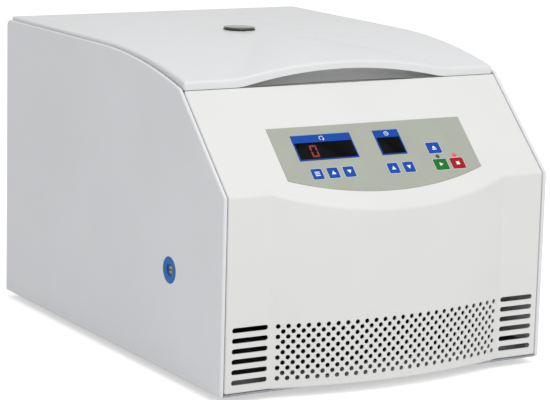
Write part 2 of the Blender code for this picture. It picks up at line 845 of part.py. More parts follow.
def overlay_outline(grow):
    """The control overlay: straight at the top and sides, and an arc along the bottom."""
    half = OVERLAY_HALF + grow
    top = OVERLAY_TOP + grow
    side = OVERLAY_SIDE - grow
    radius = (half**2 + OVERLAY_DIP**2) / (2 * OVERLAY_DIP)
    span = math.degrees(math.asin(half / radius))
    centre = (0, side - OVERLAY_DIP + radius)
    return [(half, top), (-half, top)] + arc(centre, radius, -90 - span, -90 + span, 12)


def key_table():
    """Name, place across, place up the slope, width, height and colour of each key."""
    small = (KEY_WIDTH, KEY_HEIGHT)
    wide = (WIDE_KEY_WIDTH, WIDE_KEY_HEIGHT)
    return [
        ("key_set", SET_X, KEY_ROW, *small, BLUE),
        ("key_speed_up", SPEED_UP_X, KEY_ROW, *small, BLUE),
        ("key_speed_down", SPEED_DOWN_X, KEY_ROW, *small, BLUE),
        ("key_time_up", TIME_UP_X, KEY_ROW, *small, BLUE),
        ("key_time_down", TIME_DOWN_X, KEY_ROW, *small, BLUE),
        ("key_open", START_X, OPEN_ROW, *wide, BLUE),
        ("key_start", START_X, KEY_ROW, *wide, GREEN),
        ("key_stop", STOP_X, KEY_ROW, *wide, RED),
    ]


def glass_table():
    return [
        ("speed_window", SPEED_WINDOW_X, SPEED_WINDOW_WIDTH),
        ("time_window", TIME_WINDOW_X, TIME_WINDOW_WIDTH),
    ]


def lamp_table():
    return [("lamp_ready", START_X, GREEN), ("lamp_stop", STOP_X, RED)]


def panel_openings(low, high, glass_margin):
    """Cutters for keys, lamps and display glasses, between two depths of the slope."""
    shapes = []
    for _, x, s, width, height, _ in key_table():
        across = (x - width / 2 - KEY_GAP, x + width / 2 + KEY_GAP)
        along = (s - height / 2 - KEY_GAP, s + height / 2 + KEY_GAP)
        shapes.append(block(across, along, (low, high)))
    for _, x, _ in lamp_table():
        shapes.append(
            rod(LAMP_RADIUS + CLEAR, low, high, LAMP_SIDES, centre=(x, LAMP_ROW))
        )
    for _, x, width in glass_table():
        across = (x - width / 2 - glass_margin, x + width / 2 + glass_margin)
        half = WINDOW_HEIGHT / 2 + glass_margin
        along = (WINDOW_ROW - half, WINDOW_ROW + half)
        shapes.append(block(across, along, (low, high)))
    return merged(shapes)


def front_panel():
    panel = place(
        slab(moulding_profile(), -MOULD_HALF, MOULD_HALF, ALONG_X), "front_panel", IVORY
    )
    inner = MOULD_HALF - MOULD_WALL
    join(panel, place(bulge(0), "bulge_outside"))
    cut(
        panel,
        place(slab(moulding_hollow(), -inner, inner, ALONG_X), "moulding_hollow"),
        place(bulge(MOULD_WALL), "bulge_hollow"),
        place(vent_holes(), "vent_holes", weld=False),
        place(louvres(), "louvres", weld=False),
    )
    recess = slab(overlay_outline(CLEAR), -OVERLAY_RECESS, OVERRUN)
    openings = panel_openings(-MOULD_WALL - OVERRUN / 2, OVERRUN, -GLASS_BORDER)
    cut(
        panel,
        place(recess, "overlay_recess", parent=SLOPE_FRAME),
        place(openings, "panel_openings", parent=SLOPE_FRAME, weld=False),
    )


def rear_panel():
    panel = place(
        block((-FITTED_HALF, FITTED_HALF), (BODY_DEPTH - REAR_WALL, BODY_DEPTH), (0, REAR_TOP)),
        "rear_panel",
        CREAM,
    )
    y = (BODY_DEPTH - REAR_WALL - OVERRUN, BODY_DEPTH + OVERRUN)
    slots = []
    for side in (-1, 1):
        for i in range(OUTLET_SLOTS):
            x = side * (OUTLET_X - (i - (OUTLET_SLOTS - 1) / 2) * OUTLET_PITCH)
            across = (x - OUTLET_WIDTH / 2, x + OUTLET_WIDTH / 2)
            slots.append(block(across, y, (OUTLET_LOW, OUTLET_LOW + OUTLET_HEIGHT)))
    across = (
        INLET_X - INLET_BODY_WIDTH / 2 - CLEAR,
        INLET_X + INLET_BODY_WIDTH / 2 + CLEAR,
    )
    half = INLET_BODY_HEIGHT / 2 + CLEAR
    slots.append(block(across, y, (INLET_Z - half, INLET_Z + half)))
    cut(panel, place(merged(slots), "rear_openings", weld=False))


def top_deck():
    """Deck sheet with a gutter in front, where fingers reach under the lid."""
    front = MOULD_TOP + MOULD_LEDGE + CLEAR
    profile = [
        (front, DECK_TOP + GUTTER_LIP),
        (front + DECK_WALL, DECK_TOP + GUTTER_LIP),
        (front + DECK_WALL, GUTTER_FLOOR),
        (GUTTER_BACK, GUTTER_FLOOR),
        (GUTTER_BACK, DECK_TOP),
        (REAR_INSIDE, DECK_TOP),
        (REAR_INSIDE, DECK_TOP - DECK_WALL),
        (GUTTER_BACK + DECK_WALL, DECK_TOP - DECK_WALL),
        (GUTTER_BACK + DECK_WALL, GUTTER_FLOOR - DECK_WALL),
        (front, GUTTER_FLOOR - DECK_WALL),
    ]
    deck = place(slab(profile, -FITTED_HALF, FITTED_HALF, ALONG_X), "top_deck", PALE_GREY)
    flanges = merged(
        block(
            sorted((side * FITTED_HALF, side * (FITTED_HALF - DECK_WALL))),
            (GUTTER_BACK, REAR_INSIDE),
            (DECK_TOP - DECK_FLANGE, DECK_TOP - DECK_WALL / 2),
        )
        for side in (-1, 1)
    )
    join(deck, place(flanges, "deck_flanges", weld=False))
    bore = rod(
        BOWL_RADIUS + CLEAR,
        DECK_TOP - DECK_WALL - OVERRUN,
        DECK_TOP + OVERRUN,
        BOWL_SIDES,
        centre=(0, AXIS_Y),
    )
    slot = block(
        (-DECK_SLOT_X, DECK_SLOT_X),
        (DECK_SLOT_FRONT, DECK_SLOT_BACK),
        (DECK_TOP - DECK_WALL - OVERRUN, DECK_TOP + OVERRUN),
    )
    cut(deck, place(bore, "bowl_bore"), place(slot, "striker_slot"))


# Rotor chamber and motor


def chamber():
    inner = BOWL_RADIUS - BOWL_WALL
    outside = (BOWL_RADIUS - BOWL_FILLET, BOWL_FLOOR + BOWL_FILLET)
    inside_fillet = BOWL_FILLET - BOWL_WALL
    bowl = [(inner, FLANGE_TOP), (BOWL_FLANGE, FLANGE_TOP), (BOWL_FLANGE, FLANGE_LOW)]
    bowl += [(BOWL_RADIUS, FLANGE_LOW)]
    bowl += arc(outside, BOWL_FILLET, 0, -90, 3)
    bowl += [(BOWL_HOLE, BOWL_FLOOR), (BOWL_HOLE, BOWL_FLOOR_TOP)]
    bowl += arc(outside, inside_fillet, -90, 0, 3)
    place_turned(turned(bowl, BOWL_SIDES), "chamber_bowl", STEEL, ROTOR_FRAME)

    low = FLANGE_TOP + CLEAR
    high = LINER_LOW - CLEAR
    inside = BOWL_RADIUS + GASKET_FROM_BOWL
    outside = BOWL_FLANGE - GASKET_FROM_RIM
    gasket = [
        (inside, low),
        (outside, low),
        (outside - GASKET_CROWN, high),
        (inside + GASKET_CROWN, high),
    ]
    place_turned(turned(gasket, BOWL_SIDES), "bowl_gasket", RUBBER, ROTOR_FRAME)

    top = DECK_TOP - DECK_WALL - CLEAR
    inner = BOWL_RADIUS + GUARD_GAP
    outer = inner + GUARD_WALL
    guard = [(inner, top), (outer, top), (outer, GUARD_LOW), (inner, GUARD_LOW)]
    place_turned(turned(guard, BOWL_SIDES), "guard_ring", ZINC, ROTOR_FRAME)


def motor():
    plate = place(
        slab(
            rounded_rectangle(2 * PLATE_X, 2 * PLATE_Y, PLATE_CORNER, (0, AXIS_Y)),
            PLATE_LOW,
            PLATE_TOP,
        ),
        "motor_plate",
        ZINC,
    )
    bore = rod(
        PLATE_BORE, PLATE_LOW - OVERRUN, PLATE_TOP + OVERRUN, 16, centre=(0, AXIS_Y)
    )
    cut(plate, place(bore, "plate_bore"))

    low = BASE_WALL + CLEAR
    high = PLATE_LOW - CLEAR
    middle = (low + high) / 2
    profile = [
        (0, high),
        (MOUNT_RADIUS, high),
        (MOUNT_WAIST, middle),
        (MOUNT_RADIUS, low),
        (0, low),
    ]
    spots = [(x, y) for y in (-MOUNT_Y, MOUNT_Y) for x in (-MOUNT_X, MOUNT_X)]
    names = ("front_left", "front_right", "rear_left", "rear_right")
    for name, (x, y) in zip(names, spots):
        place_turned(
            turned(profile, 10, closed=False),
            "motor_mount_" + name,
            RUBBER,
            ROTOR_FRAME,
            at=(x, y, 0),
        )

    bore_low = BOSS_TOP - SHAFT_DEPTH - CLEAR
    waist = MOTOR_RADIUS - MOTOR_BAND
    body = [
        (SHAFT_RADIUS + CLEAR, bore_low),
        (SHAFT_RADIUS + CLEAR, BOSS_TOP),
        (MOTOR_BOSS, BOSS_TOP),
        (MOTOR_BOSS, MOTOR_TOP),
        (MOTOR_RADIUS - MOTOR_BELL, MOTOR_TOP),
        (MOTOR_RADIUS, MOTOR_TOP - MOTOR_BELL),
        (MOTOR_RADIUS, MOTOR_TOP - 2 * MOTOR_BELL),
        (waist, MOTOR_TOP - 2 * MOTOR_BELL),
        (waist, PLATE_TOP + 2 * MOTOR_BELL),
        (MOTOR_RADIUS, PLATE_TOP + 2 * MOTOR_BELL),
        (MOTOR_RADIUS, PLATE_TOP + CLEAR),
        (0, PLATE_TOP + CLEAR),
        (0, bore_low),
    ]
    place_turned(turned(body, MOTOR_SIDES), "motor_body", ALUMINIUM, ROTOR_FRAME)

    outer = BOWL_HOLE - CLEAR
    seat = BOWL_FLOOR_TOP + CLEAR
    low = BOSS_TOP + CLEAR
    shoulder = low + BOOT_CROWN
    lip = outer + BOOT_LIP
    boot = [
        (MOTOR_BOSS, low),
        (outer, shoulder),
        (outer, seat),
        (lip, seat),
        (lip, seat + BOOT_LIP_WALL),
        (BOOT_INNER + BOOT_WALL, seat + BOOT_LIP_WALL + BOOT_CROWN),
        (BOOT_INNER, seat + BOOT_LIP_WALL + BOOT_CROWN),
        (BOOT_INNER, seat + BOOT_CROWN),
        (outer - BOOT_WALL, seat),
        (outer - BOOT_WALL, shoulder),
        (MOTOR_BOSS - BOOT_WALL, low),
    ]
    place_turned(turned(boot, MOTOR_SIDES), "shaft_boot", RUBBER, ROTOR_FRAME)

    shaft = rod(SHAFT_RADIUS, BOSS_TOP - SHAFT_DEPTH, HUB_LOW - CLEAR, 16)
    place(shaft, "motor_shaft", STEEL, ROTOR_FRAME)


# Swing-out rotor


def arm_outline():
    """One arm, drawn in the quarter between two buckets: a bar that spreads to a head with two faces."""
    face = BUCKET_RADIUS + BOSS_OUT + HEAD_GAP
    near = PIVOT_RADIUS - HEAD_HALF
    far = PIVOT_RADIUS + HEAD_HALF
    offset = ARM_HALF / math.sqrt(2)
    root = ARM_ROOT
    half = [
        (root + offset, root - offset),
        (ARM_NECK + offset, ARM_NECK - offset),
        (near, face),
        (far, face),
        (far, face + HEAD_THICK),
    ]
    return half + [(b, a) for a, b in reversed(half)]


def rotor_yoke():
    hub = rod(HUB_RADIUS, HUB_LOW, HUB_TOP, MOTOR_SIDES)
    yoke = place(hub, "rotor_yoke", ALUMINIUM, ROTOR_FRAME)
    face = BUCKET_RADIUS + BOSS_OUT + HEAD_GAP
    tip = BUCKET_RADIUS + PIN_GAP
    root = face + HEAD_THICK / 2
    for i in range(BUCKETS):
        turn = Matrix.Rotation(2 * math.pi * i / BUCKETS, 4, "Z")
        arm = slab(arm_outline(), PIVOT_Z - ARM_BELOW, PIVOT_Z + ARM_ABOVE)
        bmesh.ops.transform(arm, matrix=turn, verts=arm.verts)
        join(yoke, place(arm, f"arm_{i + 1}", parent=ROTOR_FRAME))
        for side, ends in (("a", (tip, root)), ("b", (-root, -tip))):
            pin = rod(PIN_RADIUS, *ends, 12, "Y", (PIVOT_RADIUS, PIVOT_Z))
            bmesh.ops.transform(pin, matrix=turn, verts=pin.verts)
            join(yoke, place(pin, f"pin_{i + 1}{side}", parent=ROTOR_FRAME))


def rotor_nut():
    low = HUB_TOP + CLEAR
    hexagon = rod(NUT_RADIUS, low, low + NUT_HEIGHT, 6)
    nut = place(hexagon, "rotor_nut", STEEL, ROTOR_FRAME)
    top = low + NUT_HEIGHT
    dome = [(0, top + NUT_DOME)]
    radius = NUT_RADIUS * math.cos(math.radians(30))
    shares = (0.25, 0.5, 0.75, 1)
    for share in shares:
        dome.append((radius * share, top + NUT_DOME * math.sqrt(1 - share**2)))
    dome += [(radius, top - NUT_HEIGHT / 2), (0, top - NUT_HEIGHT / 2)]
    join(nut, place_turned(turned(dome, 12, closed=False), "nut_dome", parent=ROTOR_FRAME))


def bucket(name, frame_of):
    """A swing bucket with its axis of swing through the origin, along Y, and its mouth up."""
    inner = BUCKET_RADIUS - BUCKET_WALL
    outside = (BUCKET_RADIUS - BUCKET_ROUND, BUCKET_ROUND - BUCKET_BELOW)
    lip = BUCKET_RADIUS + BUCKET_LIP
    under_lip = BUCKET_ABOVE - BUCKET_LIP_HEIGHT
    profile = [(0, BUCKET_WALL - BUCKET_BELOW)]
    profile += arc(outside, BUCKET_ROUND - BUCKET_WALL, -90, 0, 2)
    profile += [(inner, BUCKET_ABOVE), (lip, BUCKET_ABOVE), (lip, under_lip)]
    profile += [(BUCKET_RADIUS, under_lip)]
    profile += arc(outside, BUCKET_ROUND, 0, -90, 2)
    profile += [(0, -BUCKET_BELOW)]
    cup = place_turned(
        turned(profile, BUCKET_SIDES, closed=False), name, ALUMINIUM, frame_of
    )
    for side in (-1, 1):
        reach = sorted(
            (side * (BUCKET_RADIUS - BOSS_SINK), side * (BUCKET_RADIUS + BOSS_OUT))
        )
        boss = block((-BOSS_HALF, BOSS_HALF), reach, (-BOSS_BELOW, BOSS_ABOVE))
        join(cup, place(boss, f"{name}_boss", parent=frame_of))
    for side in (-1, 1):
        reach = sorted(
            (side * (BUCKET_RADIUS + PIN_GAP / 2), side * (BUCKET_RADIUS + 2 * BOSS_OUT))
        )
        width = PIN_RADIUS + CLEAR
        outline = [(-width, -BOSS_BELOW - OVERRUN), (width, -BOSS_BELOW - OVERRUN)]
        outline += arc((0, 0), width, 0, 180, 4)
        slot = slab(outline, *reach, ALONG_Y)
        cut(cup, place(slot, f"{name}_slot", parent=frame_of))


def buckets():
    for i in range(BUCKETS):
        angle = 2 * math.pi * i / BUCKETS
        spot = (PIVOT_RADIUS * math.cos(angle), PIVOT_RADIUS * math.sin(angle), PIVOT_Z)
        swing = frame(f"bucket_{i + 1}_axis", spot, ROTOR_FRAME, (0, 0, angle))
        bucket(f"bucket_{i + 1}", swing)


# Lid


def hump_share(y):
    """How far the swell has run out at y: 1 at the lid's front edge, 0 where it ends."""
    return max(0, 1 - (y - LID_FRONT) / HUMP_LENGTH)


def lid_top(x, y):
    """Height of the lid's upper face: the side panels' line, and the swell behind the finger arch."""
    share = hump_share(y)
    swell = 0
    if share > 0 and abs(x) < HUMP_HALF * share:
        swell = HUMP_RISE * share * (1 - (x / (HUMP_HALF * share)) ** 2)
    return rim(y) + LID_PROUD + swell


def lid_columns(y):
    """Places across the lid, with two of them on the swell's creases."""
    crease = max(HUMP_NARROW, HUMP_HALF * hump_share(y))
    shares = (1, 0.75, 0.5, 0.25, 0)
    inner = [crease * share for share in shares]
    half = [LID_HALF - LID_ROUND] + inner
    return [-x for x in half] + [x for x in reversed(half[:-1])]


def lid_rows():
    front = LID_FRONT + LID_ROUND
    rows = [front + (RIM_ARC_END - front) * i / 7 for i in range(8)]
    back = BODY_DEPTH - LID_ROUND
    return rows + [RIM_ARC_END + (back - RIM_ARC_END) * i / 2 for i in range(1, 3)]


def arch_edge(x):
    """Height of the lid's front edge, raised in the middle for fingers."""
    edge = rim(LID_FRONT) + LID_PROUD - LID_LIP
    if abs(x) < ARCH_HALF:
        edge += ARCH_RISE * (1 - (x / ARCH_HALF) ** 2)
    return edge


def lid_lines(low, high, between):
    """Grid lines of the shell in one direction: an edge, a rounding and the top, then back again."""
    lines = [(low, "edge"), (low, "round")] + [(value, "top") for value in between]
    return lines + [(high, "round"), (high, "edge")]


def lid_point(x, x_kind, y, y_kind):
    """A point of the outer face, on the top, on its rounded border or on the edge of a skirt."""
    if "edge" in (x_kind, y_kind):
        if y == LID_FRONT:
            return (x, y, arch_edge(x))
        if y == BODY_DEPTH:
            return (x, y, LID_REAR_EDGE)
        return (x, y, lid_top(x, y) - LID_SIDE_SKIRT)
    drop = LID_ROUND if "round" in (x_kind, y_kind) else 0
    return (x, y, lid_top(x, y) - drop)


def grid_of(lines):
    """Faces between lines of points that are all as long, seen from above."""
    bm = bmesh.new()
    grid = [[bm.verts.new(point) for point in line] for line in lines]
    for low, high in zip(grid, grid[1:]):
        for a, b, c, d in zip(low, low[1:], high[1:], high):
            bm.faces.new((a, b, c, d))
    bmesh.ops.remove_doubles(bm, verts=bm.verts, dist=WELD)
    bmesh.ops.dissolve_degenerate(bm, edges=bm.edges, dist=WELD)
    return bm


def lid_shell():
    lines = []
    for y, y_kind in lid_lines(LID_FRONT, BODY_DEPTH, lid_rows()):
        across = lid_lines(-LID_HALF, LID_HALF, lid_columns(y))
        lines.append([lid_point(x, x_kind, y, y_kind) for x, x_kind in across])
    shell = place(
        grid_of(lines), "lid_shell", PALE_GREY, LID_FRAME, from_root=True, weld=False
    )
    thick = shell.modifiers.new("wall", "SOLIDIFY")
    thick.thickness = LID_WALL
    thick.offset = -1
    thick.use_even_offset = True
    bore = rod(
        WINDOW_SHANK + CLEAR,
        LINER_LOW,
        LID_TOP + OVERRUN,
        WINDOW_SIDES,
        centre=(0, AXIS_Y),
    )
    cut(shell, place(bore, "window_bore"))


def above_lid():
    """Everything above the shell's inner face, to trim what is seated under it."""
    lines = []
    for y in lid_rows():
        lines.append([(x, y, lid_top(x, y) - LID_WALL - LID_SEAT) for x in lid_columns(y)])
    bm = grid_of(lines)
    raised = bmesh.ops.extrude_face_region(bm, geom=bm.faces[:])
    verts = [v for v in raised["geom"] if isinstance(v, bmesh.types.BMVert)]
    bmesh.ops.translate(bm, vec=(0, 0, RIM_HEIGHT - DECK_TOP + OVERRUN), verts=verts)
    return place(bm, "above_lid")


def lid_liner(trim):
    high = LID_TOP + OVERRUN
    tube = WINDOW_SHANK + CLEAR
    outer = LINER_RADIUS
    profile = [
        (tube, LINER_LOW),
        (outer, LINER_LOW),
        (outer, high),
        (outer - LINER_WALL, high),
        (outer - LINER_WALL, LINER_LOW + LINER_WALL),
        (tube + LINER_WALL, LINER_LOW + LINER_WALL),
        (tube + LINER_WALL, high),
        (tube, high),
    ]
    liner = place_turned(
        turned(profile, BOWL_SIDES),
        "lid_liner",
        PALE_GREY,
        LID_FRAME,
        (0, AXIS_Y, 0),
        from_root=True,
    )
    cut(liner, trim)


def window():
    seat = LID_TOP + CLEAR
    glass_low = seat + RING_WALL + CLEAR
    top = glass_low + WINDOW_PROUD
    ring = [
        (WINDOW_SHANK + CLEAR, seat),
        (WINDOW_HEAD, seat),
        (WINDOW_HEAD, seat + RING_WALL),
        (WINDOW_SHANK + CLEAR, seat + RING_WALL),
    ]
    glass = [
        (0, top),
        (WINDOW_HEAD - WINDOW_ROUND, top),
        (WINDOW_HEAD, top - WINDOW_ROUND),
        (WINDOW_HEAD, glass_low),
        (WINDOW_SHANK, glass_low),
        (WINDOW_SHANK, LINER_LOW),
        (0, LINER_LOW),
    ]
    spot = (0, AXIS_Y, 0)
    place_turned(
        turned(ring, WINDOW_SIDES), "window_ring", RUBBER, LID_FRAME, spot, True
    )
    place_turned(
        turned(glass, WINDOW_SIDES, closed=False),
        "view_window",
        GLASS,
        LID_FRAME,
        spot,
        True,
    )


# Hinges


def knuckle(left, right, name):
    return place(rod(KNUCKLE_RADIUS, left, right, 12, "X", (HINGE_Y, HINGE_Z)), name)


def hinge(side, x):
    under_lid = LID_TOP - LID_WALL - CLEAR
    left, right = x - HINGE_HALF, x + HINGE_HALF
    inner = KNUCKLE_HALF + KNUCKLE_GAP
    low = DECK_TOP + CLEAR

    base = place(
        block(
            (left, right),
            (HINGE_Y - HINGE_FOOT_REACH, REAR_INSIDE - CLEAR),
            (low, low + LEAF_WALL),
        ),
        f"hinge_base_{side}",
        ZINC,
    )
    for i, ends in enumerate(((left, x - inner), (x + inner, right))):
        reach = (HINGE_Y - WEB_REACH, HINGE_Y - WEB_GAP)
        web = block(ends, reach, (low + LEAF_WALL / 2, HINGE_Z))
        join(base, place(web, f"web_{side}_{i}"), knuckle(*ends, f"knuckle_{side}_{i}"))

    leaf = place(
        block(
            (left, right),
            (HINGE_Y - LEAF_REACH, LEAF_BACK),
            (under_lid - LEAF_WALL, under_lid),
        ),
        f"hinge_leaf_{side}",
        ZINC,
        LID_FRAME,
        from_root=True,
    )
    ends = (x - KNUCKLE_HALF, x + KNUCKLE_HALF)
    neck = block(ends, (LEAF_BACK - LEAF_WALL, HINGE_Y), (HINGE_Z, under_lid))
    join(leaf, place(neck, f"neck_{side}"), knuckle(*ends, f"leaf_knuckle_{side}"))

    bore = rod(
        HINGE_PIN + CLEAR, left - OVERRUN, right + OVERRUN, 10, "X", (HINGE_Y, HINGE_Z)
    )
    hole = place(bore, f"pin_bore_{side}")
    cut(base, hole)
    cut(leaf, hole)

    head = right + CLEAR
    pin = place(
        rod(HINGE_PIN, left, head + PIN_HEAD_WALL / 2, 10, "X", (HINGE_Y, HINGE_Z)),
        f"hinge_pin_{side}",
        STEEL,
    )
    cap = rod(PIN_HEAD, head, head + PIN_HEAD_WALL, 10, "X", (HINGE_Y, HINGE_Z))
    join(pin, place(cap, f"pin_head_{side}"))


# Lid lock and its emergency release


def striker(trim):
    middle = STRIKER_FRONT + STRIKER_WALL / 2
    reach = STRIKER_PAD_REACH + STRIKER_WALL / 2
    high = LID_TOP + OVERRUN
    tongue = place(
        block(
            (-STRIKER_HALF, STRIKER_HALF),
            (STRIKER_FRONT, STRIKER_FRONT + STRIKER_WALL),
            (DECK_TOP - STRIKER_DROP, high),
        ),
        "lid_striker",
        STEEL,
        LID_FRAME,
        from_root=True,
    )
    pad_top = lid_top(STRIKER_PAD, middle)
    pad = block(
        (-STRIKER_PAD, STRIKER_PAD),
        (middle - reach, middle + reach),
        (pad_top - LID_WALL - STRIKER_PAD_WALL, high),
    )
    join(tongue, place(pad, "striker_pad"))
    notch = block(
        (-STRIKER_HALF - OVERRUN, NOTCH_DEPTH - STRIKER_HALF),
        (STRIKER_FRONT - OVERRUN, STRIKER_FRONT + STRIKER_WALL + OVERRUN),
        (BOLT_Z - BOLT_HEIGHT / 2 - BOLT_FREE, BOLT_Z + BOLT_HEIGHT / 2 + BOLT_FREE),
    )
    cut(tongue, place(notch, "striker_notch"), trim)


def lock():
    housing = place(
        block(
            (-LOCK_HALF, LOCK_HALF),
            (LOCK_FRONT, LOCK_BACK),
            (DECK_TOP - LOCK_DROP, DECK_TOP - DECK_WALL - CLEAR),
        ),
        "lock_housing",
        BLACK,
    )
    bevel(housing, LOCK_EDGE)
    pocket = block(
        (-DECK_SLOT_X, DECK_SLOT_X),
        (DECK_SLOT_FRONT, DECK_SLOT_BACK),
        (DECK_TOP - LOCK_POCKET, DECK_TOP + OVERRUN),
    )
    middle = STRIKER_FRONT + STRIKER_WALL / 2
    half_wide = BOLT_WIDTH / 2 + CLEAR
    half_high = BOLT_HEIGHT / 2 + CLEAR
    channel = block(
        (-LOCK_HALF - OVERRUN, 0),
        (middle - half_wide, middle + half_wide),
        (BOLT_Z - half_high, BOLT_Z + half_high),
    )
    cut(housing, place(pocket, "lock_pocket"), place(channel, "bolt_channel"))

    tip = -STRIKER_HALF - BOLT_SHORT
    bolt = place(
        block(
            (tip - BOLT_LENGTH, tip),
            (middle - BOLT_WIDTH / 2, middle + BOLT_WIDTH / 2),
            (BOLT_Z - BOLT_HEIGHT / 2, BOLT_Z + BOLT_HEIGHT / 2),
        ),
        "latch_bolt",
        STEEL,
    )
    bevel(bolt, BOLT_EDGE)


def release():
    centre = (RELEASE_Y, RELEASE_Z)
    hub_end = RELEASE_LENGTH - HALF_WIDTH
    flange = rod(RELEASE_RADIUS, -HALF_WIDTH, -INNER_HALF, 20, "X", centre)
    bushing = place(flange, "release_bushing", BLUE)
    hub = rod(RELEASE_HUB, -INNER_HALF - CLEAR, hub_end, 12, "X", centre)
    join(bushing, place(hub, "release_hub"))
    bore = rod(
        SPINDLE_RADIUS + CLEAR, -HALF_WIDTH - OVERRUN, hub_end + OVERRUN, 12, "X", centre
    )
    mouth = rod(RELEASE_BORE, -HALF_WIDTH - OVERRUN, SPINDLE_SUNK - HALF_WIDTH, 12, "X", centre)
    cut(bushing, place(bore, "spindle_bore"), place(mouth, "spindle_mouth"))

    turn = frame("release_axis", (0, *centre), ROOT)
    outer = SPINDLE_SUNK - HALF_WIDTH
    spindle = place(
        rod(SPINDLE_RADIUS, outer, outer + SPINDLE_LENGTH, 12, "X"),
        "release_spindle",
        BRASS,
        turn,
    )
    collar = rod(SPINDLE_COLLAR, hub_end + CLEAR, hub_end + BASE_WALL, 12, "X")
    join(spindle, place(collar, "spindle_collar", parent=turn))
    slot = block(
        (outer - OVERRUN, outer + SPINDLE_SLOT_DEPTH),
        (-SPINDLE_RADIUS - OVERRUN, SPINDLE_RADIUS + OVERRUN),
        (-SPINDLE_SLOT / 2, SPINDLE_SLOT / 2),
    )
    cut(spindle, place(slot, "spindle_slot", parent=turn))


# Control panel


def control_panel():
    low = CLEAR - OVERLAY_RECESS
    high = low + OVERLAY_WALL
    overlay = place(
        slab(overlay_outline(0), low, high), "control_overlay", PANEL_GREEN, SLOPE_FRAME
    )
    openings = panel_openings(low - OVERRUN, high + OVERRUN, CLEAR)
    cut(overlay, place(openings, "overlay_openings", parent=SLOPE_FRAME, weld=False))

    for name, x, width in glass_table():
        glass = block(
            (-width / 2, width / 2), (-WINDOW_HEIGHT / 2, WINDOW_HEIGHT / 2), (low, low + GLASS_WALL)
        )
        place(glass, name, BLACK, SLOPE_FRAME, (x, WINDOW_ROW, 0))

    for name, x, colour in lamp_table():
        lamp = rod(LAMP_RADIUS, BOARD_TOP + CLEAR, LAMP_PROUD, LAMP_SIDES)
        placed = place(lamp, name, colour, SLOPE_FRAME, (x, LAMP_ROW, 0))
        bevel(placed, KEY_ROUND, 1)

    for name, x, s, width, height, colour in key_table():
        cap = block(
            (-width / 2, width / 2),
            (-height / 2, height / 2),
            (BOARD_TOP + CLEAR + KEY_TRAVEL, high + KEY_TRAVEL),
        )
        placed = place(cap, name, colour, SLOPE_FRAME, (x, s, 0))
        bevel(placed, KEY_ROUND, 1)


def control_board():
    board = place(
        block((-BOARD_HALF, BOARD_HALF), (BOARD_LOW, BOARD_HIGH), (BOARD_TOP - BOARD_WALL, BOARD_TOP)),
        "control_board",
        BOARD,
        SLOPE_FRAME,
    )
    across = BOARD_HALF - BOARD_POST_INSET
    along = (BOARD_LOW + BOARD_POST_INSET, BOARD_HIGH - BOARD_POST_INSET)
    additions = [
        rod(BOARD_POST, BOARD_TOP - BOARD_WALL / 2, -MOULD_WALL - CLEAR, 8, centre=(x, s))
        for x in (-across, across)
        for s in along
    ]
    for _, x, width in glass_table():
        half_wide = width / 2 - GLASS_BORDER - CLEAR
        half_high = WINDOW_HEIGHT / 2 - GLASS_BORDER - CLEAR
        additions.append(
            block(
                (x - half_wide, x + half_wide),
                (WINDOW_ROW - half_high, WINDOW_ROW + half_high),
                (BOARD_TOP - BOARD_WALL / 2, -OVERLAY_RECESS - CLEAR),
            )
        )
    join(board, place(merged(additions), "board_parts", parent=SLOPE_FRAME, weld=False))


# Electrical parts


def power_inlet():
    face = BODY_DEPTH + REAR_REACH
    back = BODY_DEPTH - INLET_BODY_DEPTH
    flange = slab(
        rounded_rectangle(INLET_WIDTH, INLET_HEIGHT, INLET_CORNER, (INLET_X, INLET_Z)),
        BODY_DEPTH + CLEAR,
        face,
        ALONG_Y,
    )
    inlet = place(flange, "power_inlet", BLACK)
    body = block(
        (INLET_X - INLET_BODY_WIDTH / 2, INLET_X + INLET_BODY_WIDTH / 2),
        (back, BODY_DEPTH + REAR_REACH / 2),
        (INLET_Z - INLET_BODY_HEIGHT / 2, INLET_Z + INLET_BODY_HEIGHT / 2),
    )
    join(inlet, place(body, "inlet_body"))
    socket = block(
        (INLET_X - SOCKET_WIDTH / 2, INLET_X + SOCKET_WIDTH / 2),
        (face - SOCKET_DEPTH, face + OVERRUN),
        (SOCKET_Z - SOCKET_HEIGHT / 2, SOCKET_Z + SOCKET_HEIGHT / 2),
    )
    well = block(
        (INLET_X - ROCKER_WIDTH / 2 - CLEAR, INLET_X + ROCKER_WIDTH / 2 + CLEAR),
        (face - ROCKER_PIVOT_IN - ROCKER_DEPTH - ROCKER_GAP, face + OVERRUN),
        (SWITCH_Z - ROCKER_HEIGHT / 2 - ROCKER_GAP, SWITCH_Z + ROCKER_HEIGHT / 2 + ROCKER_GAP),
    )
    cut(inlet, place(socket, "socket_cavity"), place(well, "rocker_well"))
    floor = face - SOCKET_DEPTH
    blades = []
    for x, z in ((-BLADE_PITCH, -BLADE_RISE), (0, BLADE_RISE), (BLADE_PITCH, -BLADE_RISE)):
        across = (INLET_X + x - BLADE_THICK / 2, INLET_X + x + BLADE_THICK / 2)
        upright = (SOCKET_Z + z - BLADE_WIDTH / 2, SOCKET_Z + z + BLADE_WIDTH / 2)
        blades.append(block(across, (floor - BLADE_THICK, floor + BLADE_LENGTH), upright))
    join(inlet, place(merged(blades), "inlet_blades", weld=False))


